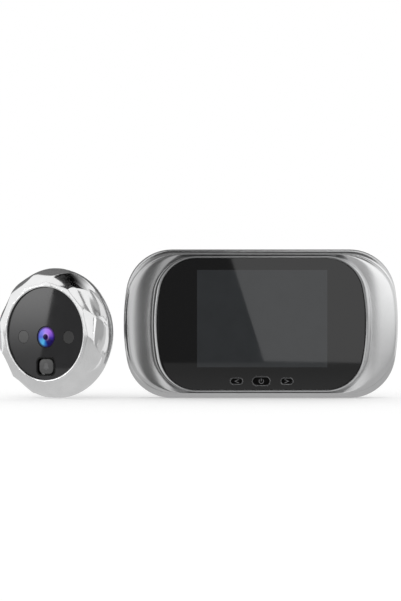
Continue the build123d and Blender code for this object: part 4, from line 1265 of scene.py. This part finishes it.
@dataclass
class FrontGlass:
    """The glass over the display, with a hole for each button's rim."""

    form: IndoorForm
    gap: float = 0.1 * MM
    edge_bevel: float = 0.2 * MM
    rim_gap: float = 0.1 * MM

    def build(self) -> list[Piece]:
        """Models the glass.

        Returns:
            The piece in place of its node.
        """
        glass = self.form.glass.inset(self.gap)
        back, front = back_of("front_glass"), front_of("front_glass")
        skin = Skin("display_glass")
        skin.pillow(glass, back)
        skin.pillow(glass, front - self.edge_bevel)
        skin.pillow(glass.inset(self.edge_bevel), front)
        piece = skin.finish(Ends.CAPPED)
        for key in KEY_NAMES:
            combine(piece, slot_tool(key, self.rim_gap, -front - OVERRUN, -back + OVERRUN), Cut.TAKE_AWAY)
        shade(piece, 25)
        return [settle(piece, DisplayGlass(), "front_glass")]


@dataclass
class Key:
    """A button under the display: its bright rim, its pill and the sign printed on it."""

    name: str
    symbol: Symbol
    slot_points: int = 40
    rim_round: float = 0.12 * MM
    rim_steps: int = 8
    pill_round: float = 0.14 * MM
    pill_steps: int = 5
    flange_reach: float = 0.7 * MM
    flange_thickness: float = 0.5 * MM
    print_height: float = 0.03 * MM
    # The power sign: radius, opening in degrees, bar's length and line, and steps of the ring
    power_radius: float = 1.15 * MM
    power_opening: float = 42.0
    power_bar: float = 1.265 * MM
    power_line: float = 0.224 * MM
    power_steps: int = 20
    # The chevron: its tip, its tail, half its height and its line along X
    chevron_tip: float = 0.95 * MM
    chevron_tail: float = 0.75 * MM
    chevron_half: float = 0.78 * MM
    chevron_line: float = 0.512 * MM

    def _slots(
        self, name: str, rows: Sequence[tuple[float, float, float]], centre: Point, ends: Ends
    ) -> Piece:
        """A skin of slot-shaped rings.

        Args:
            name: the piece's name.
            rows: each ring's width, height and level.
            centre: x and z of its middle.
            ends: how it is closed.

        Returns:
            The piece, shaded.
        """
        skin = Skin(name)
        for width, height, level in rows:
            skin.stadium(width, height, -level, centre, self.slot_points)
        piece = skin.finish(ends)
        shade(piece, 40)
        return piece

    def _rim(self) -> Piece:
        """The bright rim, a slot-shaped ring with a rounded front edge.

        Returns:
            The piece in place of its node.
        """
        node = f"{self.name}_button_rim"
        width, height, centre = size_of(node)
        back, front = back_of(node), front_of(node)
        rows = [(width, height, back)]
        for rise, run in round_off(self.rim_steps, 180):
            inwards = RIM_WALL * run
            rows.append((width - inwards, height - inwards, front - self.rim_round * (1 - rise)))
        rows.append((width - 2 * RIM_WALL, height - 2 * RIM_WALL, back))
        piece = self._slots(node + "_ring", rows, centre, Ends.JOINED)
        return settle(piece, KEY_RIM, node)

    def _pill(self) -> Piece:
        """The black pill with its flange behind the fascia and a slightly rounded front.

        Returns:
            The piece in place of its node.
        """
        node = f"{self.name}_button"
        flange_width, flange_height, centre = size_of(node)
        foot, front = back_of(node), front_of(node)
        step = foot + self.flange_thickness
        width, height = flange_width - 2 * self.flange_reach, flange_height - 2 * self.flange_reach
        rows = [(flange_width, flange_height, level) for level in (foot, step)]
        rows.append((width, height, step))
        for rise, run in round_off(self.pill_steps):
            inwards = 2 * self.pill_round * run
            rows.append((width - inwards, height - inwards, front - self.pill_round * (1 - rise)))
        piece = self._slots(node + "_pill", rows, centre, Ends.CAPPED)
        return settle(piece, BLACK, node, f"{self.name}_key")

    def _sign(self) -> Piece:
        """The sign printed on the pill: a chevron to either side, or the ring and bar of a power sign.

        Returns:
            The print.
        """
        if self.symbol is Symbol.POWER:
            gap, line, radius = math.radians(self.power_opening), self.power_line, self.power_radius
            steps = self.power_steps
            angles = [gap + (2 * math.pi - 2 * gap) * step / steps for step in range(steps + 1)]
            arc = [(radius * math.sin(angle), radius * math.cos(angle)) for angle in angles]
            share = 1 - line / radius
            bar = [(-line / 2, 0), (line / 2, 0), (line / 2, self.power_bar), (-line / 2, self.power_bar)]
            shapes = [arc + [(x * share, z * share) for x, z in reversed(arc)], bar]
        else:
            way = -1 if self.symbol is Symbol.PREVIOUS else 1
            tip, tail, line = way * self.chevron_tip, -way * self.chevron_tail, way * self.chevron_line
            half = self.chevron_half
            upper = [(tip, 0), (tail, half), (tail - line, half)]
            shapes = [[*upper, (tip - line, 0), (tail - line, -half), (tail, -half)]]
        _, _, centre = size_of(f"{self.name}_button")
        depth = -front_of(f"{self.name}_button") - self.print_height / 2
        piece = print_shapes(f"{self.name}_sign", shapes, centre, depth, self.print_height)
        return settle(piece, PRINT, body=f"{self.name}_key")

    def build(self) -> list[Piece]:
        """Models the rim, the pill and the sign."""
        return [self._rim(), self._pill(), self._sign()]


# The outdoor unit, modelled upright with its front edge in the plane y = 0 and its axis on Y


@dataclass(frozen=True)
class OutdoorStand:
    """Where the outdoor unit stands and how far it is turned, read from its stem."""

    mount: str = "outdoor_stem"
    mount_depth: float = 30.0 * MM

    def pose(self) -> tuple[Vector, float]:
        """The place of the front edge's middle and the turn about Z.

        Returns:
            Both.
        """
        stem = next(mount for mount in frame["record"]["mounts"] if mount["name"] == self.mount)
        axis = Vector(stem["axis"])
        return Vector(stem["pos_m"]) - axis * self.mount_depth, -math.atan2(axis.x, axis.y)

    def settle(
        self, piece: Piece, finish: Surface, slot: str, node: str = "", body: str = "outdoor_unit"
    ) -> Piece:
        """Turns a piece, moves it from the origin to the unit's place, and dresses it.

        Args:
            piece: a piece that is modelled upright at the origin.
            finish: what it is dressed in.
            node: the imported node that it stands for, if any.
            body: the body it rides on.

        Returns:
            The piece.
        """
        origin, turn = self.pose()
        pick(piece)
        piece.rotation_euler = (0, 0, turn)
        piece.location = origin
        bpy.ops.object.transform_apply(location=True, rotation=True, scale=True)
        return settle(piece, finish, node, body)

    def turned(
        self,
        name: str,
        rows: Iterable[Point],
        ends: Ends,
        crease: float,
        points: int = 48,
        centre: Point = (0, 0),
    ) -> Piece:
        """A round piece.

        Args:
            name: the piece's name.
            rows: radius and depth of its rings.
            ends: how it is closed.
            crease: the angle in degrees above which its edges are crisp.
            points: how many points its rings have.
            centre: x and z of their middle.

        Returns:
            The piece, still at the origin.
        """
        skin = Skin(name)
        skin.circles(rows, points, centre)
        piece = skin.finish(ends)
        shade(piece, crease)
        return piece


@dataclass
class OutdoorShell:
    """Swirled twelve-sided metal body with a bright rim and a round seat for the window."""

    stand: OutdoorStand
    sides: int = 12
    side_points: int = 8
    girdle: float = 29.6 * MM
    depth: float = 13.7 * MM
    first_turn: float = math.radians(2)
    turn: float = math.radians(28)
    # Shares of the depth, of the girdle's radius, of the turn and of the sides' bulge
    swirl_shares: tuple[tuple[float, float, float, float], ...] = (
        (0.038, 0.793, 0.0, 0.0),
        (0.12, 0.896, 0.29, 0.0),
        (0.33, 0.967, 0.56, 0.1),
        (0.52, 0.995, 0.76, 0.6),
        (0.62, 1.0, 0.86, 1.0),
        (0.81, 0.992, 1.03, 1.0),
        (1.0, 0.957, 1.2, 1.0),
    )
    rings: int = 30
    crowding: float = 1.3
    edge_round: float = 0.22 * MM
    sharp: float = 14.0
    window_radius: float = 21.0 * MM
    rim_bevel: float = 0.25 * MM
    rim_crest: float = 21.6 * MM
    rim_edge: float = 0.15 * MM
    ledge_depth: float = 3.0 * MM
    ledge_thickness: float = 1.2 * MM
    ledge_hole: float = 18.5 * MM
    cavity: float = 24.0 * MM

    def build(self) -> list[Piece]:
        """Models the body as one closed skin, from the window's seat over the outside to the cavity.

        Returns:
            The piece in place of its node.
        """
        points = self.sides * self.side_points
        ledge, bevel = self.ledge_depth, self.rim_bevel
        back = ledge + self.ledge_thickness
        skin = Skin("swirled_shell")
        seat = ((self.ledge_hole, ledge), (self.window_radius, ledge), (self.window_radius, bevel))
        skin.circles((*seat, (self.window_radius + bevel / 2, bevel / 4), (self.rim_crest, 0)), points)
        first, foot, _, _ = self.swirl_shares[0]
        swirl = [(self.rim_edge, foot, 0.0, 0.0)]
        for ring in range(self.rings + 1):
            share = first + (1 - first) * (ring / self.rings) ** self.crowding
            swirl.append((self.depth * share, *along(self.swirl_shares, share)))
        for depth, radius, turned, bulge in swirl:
            skin.polygon(
                self.girdle * min(radius, 1.0), depth, self.sides, self.side_points - 1,
                self.first_turn + self.turn * turned, min(max(bulge, 0.0), 1.0),
            )
        skin.circles(((self.cavity, self.depth), (self.cavity, back), (self.ledge_hole, back)), points)
        piece = skin.finish(Ends.JOINED)
        soften(piece, self.edge_round, self.sharp, segments=3)
        shade(piece, 12)
        return [self.stand.settle(piece, METAL, "outdoor_metal", "outdoor_shell")]


@dataclass(frozen=True)
class WindowLayout:
    """Where the lens, the lamps and the bell button sit in the round window, as x and z."""

    lens: Point = (0.0, -1.6 * MM)
    lamps: tuple[Point, Point] = ((-12.4 * MM, -1.6 * MM), (12.4 * MM, -1.6 * MM))
    bell: Point = (0.0, -14.9 * MM)
    bell_pocket: Point = (10.7 * MM, 8.6 * MM)
    bell_corner: float = 2.6 * MM
    lens_radius: float = 4.9 * MM
    lamp_radius: float = 2.95 * MM
    gap: float = 0.1 * MM
    lamp_gap: float = 0.03 * MM

    def rectangle(self, name: str, size: Point, corner: float, depths: Point) -> Piece:
        """A rounded block in line with the bell's pocket.

        Args:
            name: the piece's name.
            size: its width and height.
            corner: radius of its corners.
            depths: its front and its back depth.

        Returns:
            The block.
        """
        (x, z), (width, height) = self.bell, size
        lowest = (x - width / 2, depths[0], z - height / 2)
        return block(name, lowest, (x + width / 2, depths[1], z + height / 2), corner)

    def pocket(self, name: str, inset: float, depths: Point) -> Piece:
        """A rounded block that stays a distance inside the pocket's outline."""
        width, height = (size - 2 * inset for size in self.bell_pocket)
        return self.rectangle(name, (width, height), self.bell_corner - inset, depths)


@dataclass
class OutdoorWindow:
    """The round dark window with its holes, and the two smoky lamp windows in it."""

    stand: OutdoorStand
    layout: WindowLayout
    radius: float = 20.9 * MM
    front: float = 1.2 * MM
    back: float = 2.7 * MM
    bevel: float = 0.15 * MM
    points: int = 96
    hole_sides: int = 64

    def _disc(self, name: str, radius: float, points: int = 48, centre: Point = (0, 0)) -> Piece:
        """A round pane with a bevelled front edge."""
        rows = ((radius, self.back), (radius, self.front + self.bevel), (radius - self.bevel, self.front))
        return self.stand.turned(name, rows, Ends.CAPPED, 25, points, centre)

    def _pane(self) -> Piece:
        """The window itself.

        Returns:
            The piece in place of its node.
        """
        piece = self._disc("outdoor_pane", self.radius, self.points)
        layout = self.layout
        front, back = self.front - OVERRUN, self.back + OVERRUN
        holes = [(layout.lens, layout.lens_radius + layout.gap)]
        holes += [(place, layout.lamp_radius + layout.lamp_gap) for place in layout.lamps]
        for (x, z), radius in holes:
            hole = rod("hole", (x, (front + back) / 2, z), radius, back - front, self.hole_sides)
            combine(piece, hole, Cut.TAKE_AWAY)
        combine(piece, layout.pocket("pocket", 0, (front, back)), Cut.TAKE_AWAY)
        shade(piece, 25)
        return self.stand.settle(piece, OUTDOOR_GLASS, "outdoor_glass", "outdoor_window")

    def build(self) -> list[Piece]:
        """Models the pane and the lamp windows.

        Returns:
            The three pieces.
        """
        pieces = []
        for name, place in zip(("left_lamp_window", "right_lamp_window"), self.layout.lamps):
            piece = self._disc(name + "_smoky", self.layout.lamp_radius, centre=place)
            pieces.append(self.stand.settle(piece, LAMP_GLASS, "lamp_glass", name))
        return [*pieces, self._pane()]


@dataclass
class Lens:
    """The camera's lens: barrel with its collar and the domed front element."""

    stand: OutdoorStand
    layout: WindowLayout
    collar_depth: float = 1.9 * MM
    front: float = 1.5 * MM
    thread_radius: float = 4.1 * MM
    back: float = 5.4 * MM
    bore: float = 3.0 * MM
    lip: float = 0.07 * MM
    element_radius: float = 4.65 * MM
    element_gap: float = 0.05 * MM
    element_seat: float = 2.6 * MM
    element_points: int = 64
    dome: float = 0.55 * MM
    dome_steps: int = 10

    def _barrel(self) -> Piece:
        """The black barrel, with a thin bright lip round the glass.

        Returns:
            The piece in place of its node.
        """
        radius, seat = self.layout.lens_radius, self.element_radius + self.element_gap
        front, lip, collar = self.front, self.lip, self.front + self.collar_depth
        rows = (
            (self.bore, self.back),
            (self.thread_radius, self.back),
            (self.thread_radius, collar),
            (radius, collar),
            (radius, front + lip),
            (radius - lip, front),
            (seat + lip, front),
            (seat, front + lip),
            (seat, self.element_seat),
            (self.bore, self.element_seat),
        )
        piece = self.stand.turned("lens_mount", rows, Ends.JOINED, 40, centre=self.layout.lens)
        return self.stand.settle(piece, LENS_BLACK, "lens_black", "lens_barrel")

    def _element(self) -> Piece:
        """The domed front element.

        Returns:
            The piece in place of its node.
        """
        centre, radius = self.layout.lens, self.element_radius
        sphere = (radius**2 + self.dome**2) / (2 * self.dome)
        sweep = math.asin(radius / sphere)
        rows = [(radius, self.element_seat)]
        for step in range(self.dome_steps):
            angle = sweep * (1 - step / self.dome_steps)
            rows.append((sphere * math.sin(angle), self.front - self.dome + sphere * (1 - math.cos(angle))))
        piece = self.stand.turned("lens_dome", rows, Ends.CAPPED, 30, self.element_points, centre)
        # The front element's colour is a painted reflection with a painted highlight
        painted_reflection = PaintedLensReflection(self.stand, centre, radius)
        return self.stand.settle(piece, painted_reflection, "lens_glass", "lens_front_element")

    def build(self) -> list[Piece]:
        """Models the barrel and the front element."""
        return [self._barrel(), self._element()]


@dataclass
class BellButton:
    """The bell button: its dark bezel in the window, and the grey cap with its sign."""

    stand: OutdoorStand
    layout: WindowLayout
    front: float = 1.2 * MM
    back: float = 4.2 * MM
    gap: float = 0.2 * MM
    seat_gap: float = 0.05 * MM
    wall: float = 0.5 * MM
    floor: float = 0.6 * MM
    cup_round: float = 0.04 * MM
    cap_size: Point = (7.7 * MM, 6.9 * MM)
    cap_corner: float = 2.5 * MM
    cap_front: float = 1.5 * MM
    cap_back: float = 2.9 * MM
    cap_round: float = 0.35 * MM
    stem_radius: float = 1.4 * MM
    stem_back: float = 4.45 * MM
    stem_overlap: float = 0.2 * MM
    print_height: float = 0.03 * MM
    # The right half of the bell from its top down, and its clapper's middle and half sizes
    half_bell: tuple[Point, ...] = (
        (0.0, 1.7), (0.45, 1.6), (0.85, 1.25), (1.0, 0.75), (1.1, -0.1), (1.5, -0.75), (1.5, -1.0)
    )
    clapper: tuple[float, float, float] = (-1.2, 0.5, 0.4)

    def _bezel(self) -> Piece:
        """The dark cup round the cap.

        Returns:
            The piece in place of its node.
        """
        piece = self.layout.pocket("bell_cup", self.seat_gap, (self.front, self.back))
        x, z = self.layout.bell
        hollow = self.layout.pocket("hollow", self.gap + self.wall, (0, self.back - self.floor))
        combine(piece, hollow, Cut.TAKE_AWAY)
        hole = rod("hole", (x, self.back, z), self.stem_radius + self.gap, 4 * OVERRUN)
        combine(piece, hole, Cut.TAKE_AWAY)
        soften(piece, self.cup_round)
        shade(piece, 35)
        return self.stand.settle(piece, BEZEL, "lens_black", "bell_bezel")

    def _cap(self) -> Piece:
        """The grey cap on its stem.

        Returns:
            The piece in place of its node.
        """
        x, z = self.layout.bell
        depths = (self.cap_front, self.cap_back)
        piece = self.layout.rectangle("bell_cap", self.cap_size, self.cap_corner, depths)
        soften(piece, self.cap_round, angle=60, segments=4)
        start = self.cap_back - self.stem_overlap
        stem = rod("stem", (x, (start + self.stem_back) / 2, z), self.stem_radius, self.stem_back - start)
        combine(piece, stem, Cut.ADD)
        shade(piece, 35)
        return self.stand.settle(piece, BELL_CAP, "bell_cap", "bell_button", "bell_key")

    def _sign(self) -> Piece:
        """The bell printed on the cap, with its foot and its clapper.

        Returns:
            The print.
        """
        bell = [*self.half_bell, *((-across, up) for across, up in reversed(self.half_bell[1:]))]
        middle, half_width, half_height = self.clapper
        angles = [math.radians(-30 * step) for step in range(7)]
        clapper = [(half_width * math.cos(angle), middle + half_height * math.sin(angle)) for angle in angles]
        shapes = [[(across * MM, up * MM) for across, up in shape] for shape in (bell, clapper)]
        depth = self.cap_front - self.print_height / 2
        piece = print_shapes("bell_sign", shapes, self.layout.bell, depth, self.print_height)
        return self.stand.settle(piece, BELL_PRINT, "bell_cap", body="bell_key")

    def build(self) -> list[Piece]:
        """Models the bezel, the cap and the sign."""
        return [self._bezel(), self._cap(), self._sign()]


@dataclass
class Stem:
    """The hollow stem that passes through the door, threaded along its length."""

    stand: OutdoorStand
    radius: float = 5.0 * MM
    bore: float = 3.6 * MM
    front: float = 9.2 * MM
    flange_front: float = 12.9 * MM
    flange_back: float = 13.7 * MM
    flange_radius: float = 7.0 * MM
    end: float = 46.5 * MM
    end_bevel: float = 0.6 * MM
    thread_start: float = 17.0 * MM
    thread_pitch: float = 0.9 * MM
    thread_depth: float = 0.35 * MM
    points: int = 40

    def build(self) -> list[Piece]:
        """Models the stem as one closed skin.

        Returns:
            The piece in place of its node.
        """
        radius = self.radius
        rows = [
            (self.bore, self.front),
            (radius, self.front),
            (radius, self.flange_front),
            (self.flange_radius, self.flange_front),
            (self.flange_radius, self.flange_back),
            (radius, self.flange_back),
        ]
        depth = self.thread_start
        while depth < self.end - self.end_bevel - self.thread_pitch:
            rows += [(radius, depth), (radius - self.thread_depth, depth + self.thread_pitch / 2)]
            depth += self.thread_pitch
        rows += [(radius, depth), (radius, self.end - self.end_bevel)]
        rows += [(radius - self.end_bevel, self.end), (self.bore, self.end)]
        piece = self.stand.turned("threaded_stem", rows, Ends.JOINED, 30, self.points)
        return [self.stand.settle(piece, STEM_METAL, "stem_metal", "cable_stem")]


@dataclass
class DoorSeal:
    """The foam ring between the outdoor unit and the door."""

    stand: OutdoorStand
    inner: float = 7.4 * MM
    outer: float = 22.0 * MM
    front: float = 13.7 * MM
    back: float = 14.7 * MM
    round: float = 0.25 * MM
    points: int = 72

    def build(self) -> list[Piece]:
        """Models the ring.

        Returns:
            The piece in place of its node.
        """
        rows = (
            (self.outer, self.front),
            (self.outer, self.back - self.round),
            (self.outer - self.round, self.back),
            (self.inner + self.round, self.back),
            (self.inner, self.back - self.round),
            (self.inner, self.front),
        )
        piece = self.stand.turned("foam_seal", rows, Ends.JOINED, 50, self.points)
        return [self.stand.settle(piece, FOAM, "gasket", "door_seal")]


# The studio


def on_plane(axis: int, place: float, *pairs: Point) -> Corners:
    """Corners in a plane square to an axis, given by their two other coordinates."""
    return tuple((*pair[:axis], place, *pair[axis:]) for pair in pairs)


@dataclass(frozen=True)
class Card:
    """A card of the studio that only reflections see, with one strength or faded along an axis."""

    name: str
    corners: Corners
    strength: float
    far_strength: float | None = None
    axis: str = "Z"
    start: float = 0.0
    end: float = 0.1

    def _glow(self) -> bpy.types.Material:
        """Plain light, faded between two places where the card has two strengths.

        Returns:
            The material.
        """
        graph = new_graph(self.name, empty=True)
        strength = self.strength
        if self.far_strength is not None:
            place = graph.split(graph.add("ShaderNodeTexCoord").outputs["Object"])[self.axis]
            near, far = (self.start, self.strength), (self.end, self.far_strength)
            strength = graph.span(place, near, far, interpolation_type="SMOOTHSTEP")
        light = graph.add("ShaderNodeEmission", {"Strength": strength})
        graph.add("ShaderNodeOutputMaterial", {"Surface": light.outputs["Emission"]})
        return graph.owner

    def build(self) -> None:
        """Draws the card, lights it and hides it from all but reflections."""
        piece = draw_face(self.name, self.corners)
        piece.data.materials.append(self._glow())
        for sight in ("camera", "diffuse", "shadow", "transmission"):
            setattr(piece, f"visible_{sight}", False)
        piece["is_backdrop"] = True


@dataclass
class Studio:
    """Pale floor, white surroundings, soft light, the cards round the object and the camera."""

    eye: tuple[float, float, float] = (-0.0275, -0.919, 0.0106)
    lens: float = 119.1
    sensor: float = 36.0
    nearest: float = 0.01
    floor_size: float = 12.0
    floor_colour: Colour = (0.8, 0.8, 0.8)
    floor_roughness: float = 0.9
    floor_glow: float = 0.34
    sky_light: float = 0.85
    glass_level: float = 19.2 * MM
    card_distance: float = 0.5
    card_lift: float = 0.5 * MM

    def _camera(self) -> None:
        """Looks straight along +Y, as in the photograph."""
        bpy.ops.object.camera_add(location=self.eye, rotation=(math.pi / 2, 0, 0))
        camera = bpy.context.object
        camera.data.lens = self.lens
        camera.data.sensor_width = self.sensor
        camera.data.clip_start = self.nearest
        bpy.context.scene.camera = camera

    def _world(self) -> None:
        """White to the camera and in metal and glass, and a little softer as light."""
        world = bpy.data.worlds.new("studio")
        bpy.context.scene.world = world
        graph = Graph(world, empty=True)
        rays = graph.add("ShaderNodeLightPath").outputs
        seen = rays["Is Camera Ray"]
        for ray in ("Is Glossy Ray", "Is Transmission Ray"):
            seen = graph.sum("MAXIMUM", seen, rays[ray])
        strength = graph.span(seen, (0.0, self.sky_light), (1.0, 1.0))
        white = graph.add("ShaderNodeBackground", {"Color": WHITE, "Strength": strength})
        graph.add("ShaderNodeOutputWorld", {"Surface": white.outputs["Background"]})

    def _floor(self) -> None:
        """A pale floor that shows as white but keeps the object's shadow."""
        half = self.floor_size / 2
        square = ((-half, -half), (half, -half), (half, half), (-half, half))
        piece = draw_face("floor", on_plane(2, CAD_BOX[0].z, *square))
        material = new_graph("studio_floor").shader(
            Base_Color=self.floor_colour,
            Roughness=self.floor_roughness,
            Specular_IOR_Level=0.0,
            Emission_Color=WHITE,
            Emission_Strength=self.floor_glow,
        )
        piece.data.materials.append(material)
        piece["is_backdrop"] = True

    def _seen_in_glass(self, x: float, z: float) -> Point:
        """X and Z of a card's point that the camera sees in the front glass at a place."""
        share = self.card_distance / (-self.eye[1] - self.glass_level)
        return x + (x - self.eye[0]) * share, z + (z - self.eye[2]) * share

    def _glass_cards(self, low: float) -> list[Card]:
        """The cards that give the glass its slanted light.

        Args:
            low: the height at which they start.

        Returns:
            The cards.
        """
        depth = -self.glass_level - self.card_distance
        top = self._seen_in_glass(-13.7 * MM, 30.1 * MM)
        corner = self._seen_in_glass(1.2 * MM, -16.85 * MM)
        edge = self._seen_in_glass(44.7 * MM, -20.0 * MM)
        slope = (top[0] - corner[0]) / (top[1] - corner[1])
        left, right, high = -0.06, 0.3, 0.046
        peak = (corner[0] + slope * (high - corner[1]), high)
        foot = (corner[0] - slope * (corner[1] - CAD_BOX[0].z), low)
        side = (right, edge[1])
        return [
            Card("right_light", on_plane(1, depth, peak, corner, edge, side, (right, high)), 1.35),
            Card("front_shade", on_plane(1, depth, (left, low), foot, corner, peak, (left, high)), 0.15),
            Card("low_shade", on_plane(1, depth, foot, (right, low), side, edge, corner), 0.2),
        ]

    def _metal_cards(self, low: float) -> list[Card]:
        """The cards that give the metal its dark and light zones.

        Args:
            low: the height at which they start.

        Returns:
            The cards.
        """
        wing, beside = -0.032, -0.045
        left_wing = on_plane(
            1, wing, (-0.068, low), (-0.03, low), (-0.03, -0.0315), (-0.0375, -0.029), (-0.0425, -0.0245),
            (-0.0455, -0.016), (-0.047, -0.006), (-0.047, 0.006), (-0.0455, 0.016), (-0.0425, 0.0245),
            (-0.0375, 0.029), (-0.03, 0.0315), (-0.03, 0.034), (-0.068, 0.034),
        )
        right_wing = on_plane(
            1, beside, (0.03, low), (0.11, low), (0.11, 0.05), (0.04, 0.038), (0.0425, 0.0265),
            (0.0467, 0.0205), (0.0487, 0.0105), (0.0487, -0.0105), (0.0467, -0.0205), (0.0425, -0.0265),
            (0.036, -0.0305), (0.03, -0.032),
        )
        top = on_plane(
            1, beside, (-0.055, 0.038), (0.052, 0.038), (0.07, 0.05), (0.1, 0.075), (0.15, 0.3), (-0.11, 0.3),
            (-0.075, 0.065),
        )
        black = on_plane(
            2, 0.36, (-0.53, -0.36), (-0.33, -0.26), (-0.12, -0.1), (-0.03, -0.045), (0.08, 0.02),
            (0.09, 0.15), (-0.03, 0.15), (-0.15, 0.02), (-0.24, -0.08), (-0.53, -0.26),
        )
        back = on_plane(1, 0.25, (-0.1, 0.12), (0.35, 0.12), (0.35, 0.5), (-0.1, 0.5))
        left_back = on_plane(1, 0.25, (-0.5, low), (-0.1, low), (-0.1, 0.55), (-0.5, 0.55))
        edge = on_plane(1, -0.17, (-0.165, 0.05), (0.02, 0.05), (0.0, 0.115), (-0.165, 0.115))
        over = on_plane(0, -0.01, (-0.09, 0.055), (0.03, 0.055), (0.03, 0.11), (-0.09, 0.11))
        near, far = (-0.06, -0.062), (-0.047, -0.046)
        between = ((*near, low), (*far, low), (*far, 0.012), (*near, 0.012))
        light = on_plane(0, -0.45, (-0.1694, low), (-0.13, low), (-0.13, 0.05), (-0.1865, 0.05))
        side = on_plane(0, -0.45, (-0.215, low), (-0.1694, low), (-0.1865, 0.05), (-0.215, 0.05))
        return [
            Card("left_wing_shade", left_wing, 0.88, 0.12, axis="X", start=-0.062, end=-0.051),
            Card("right_wing_light", right_wing, 0.56, 1.5, start=-0.03, end=0.03),
            Card("top_shade", top, 0.28, 0.08, start=0.042, end=0.07),
            Card("back_shade", back, 0.12, 0.6, axis="X", start=0.1, end=0.35),
            Card("left_back_shade", left_back, 0.45, 0.17, axis="X", start=-0.5, end=-0.3),
            Card("edge_shade", edge, 0.3),
            Card("over_shade", over, 0.45),
            Card("between_shade", between, 0.4),
            Card("black_flag", black, 0.0, 1.0, axis="X", start=-0.05, end=0.08),
            Card("side_light", light, 0.6, 3.4, start=-0.03, end=0.02),
            Card("side_shade", side, 0.08),
        ]

    def build(self) -> None:
        """Makes the camera, the surroundings, the floor and the cards."""
        self._camera()
        self._world()
        self._floor()
        low = CAD_BOX[0].z + self.card_lift
        ground = on_plane(2, low, (-2.0, -2.0), (2.0, -2.0), (2.0, 0.06), (-2.0, 0.06))
        cards = [Card("floor_shade", ground, 0.44, 0.6, axis="Y", start=-0.4, end=-0.02)]
        for card in cards + self._glass_cards(low) + self._metal_cards(low):
            card.build()
        bpy.context.scene.view_settings.view_transform = "Standard"


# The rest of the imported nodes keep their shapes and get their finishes


def dress_packed_nodes() -> None:
    """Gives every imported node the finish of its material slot."""
    made = {}
    for part in frame["record"]["subparts"]:
        slot = part["material_slot"]
        if slot not in made:
            made[slot] = SLOT_FINISHES[slot].material()
        node = frame["nodes"][part["node"]]
        node.data.materials.clear()
        node.data.materials.append(made[slot])
    LOG.info("%d packed nodes dressed in %d finishes", len(frame["nodes"]), len(made))


def write_sizes() -> None:
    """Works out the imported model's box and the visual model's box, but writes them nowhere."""
    boxes = [[list(corner) for corner in box] for box in (CAD_BOX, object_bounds())]


def main() -> None:
    """Builds the sub-assemblies in order, reports their pieces, and builds the studio."""
    logging.basicConfig(level=logging.INFO, format="%(name)s: %(message)s")
    dress_packed_nodes()
    form, stand, layout = IndoorForm.from_frame(), OutdoorStand(), WindowLayout()
    units: list[SubAssembly] = [
        RearHousing(form),
        Fascia(form),
        TrimRing(form),
        FrontGlass(form),
        *(Key(name, symbol) for name, symbol in zip(KEY_NAMES, Symbol)),
        OutdoorShell(stand),
        OutdoorWindow(stand, layout),
        Lens(stand, layout),
        BellButton(stand, layout),
        Stem(stand),
        DoorSeal(stand),
    ]
    for unit in units:
        for piece in unit.build():
            LOG.info("%s: %s, %d faces", type(unit).__name__, piece.name, len(piece.data.polygons))
    Studio().build()
    write_sizes()


if __name__ == "__main__":
    main()
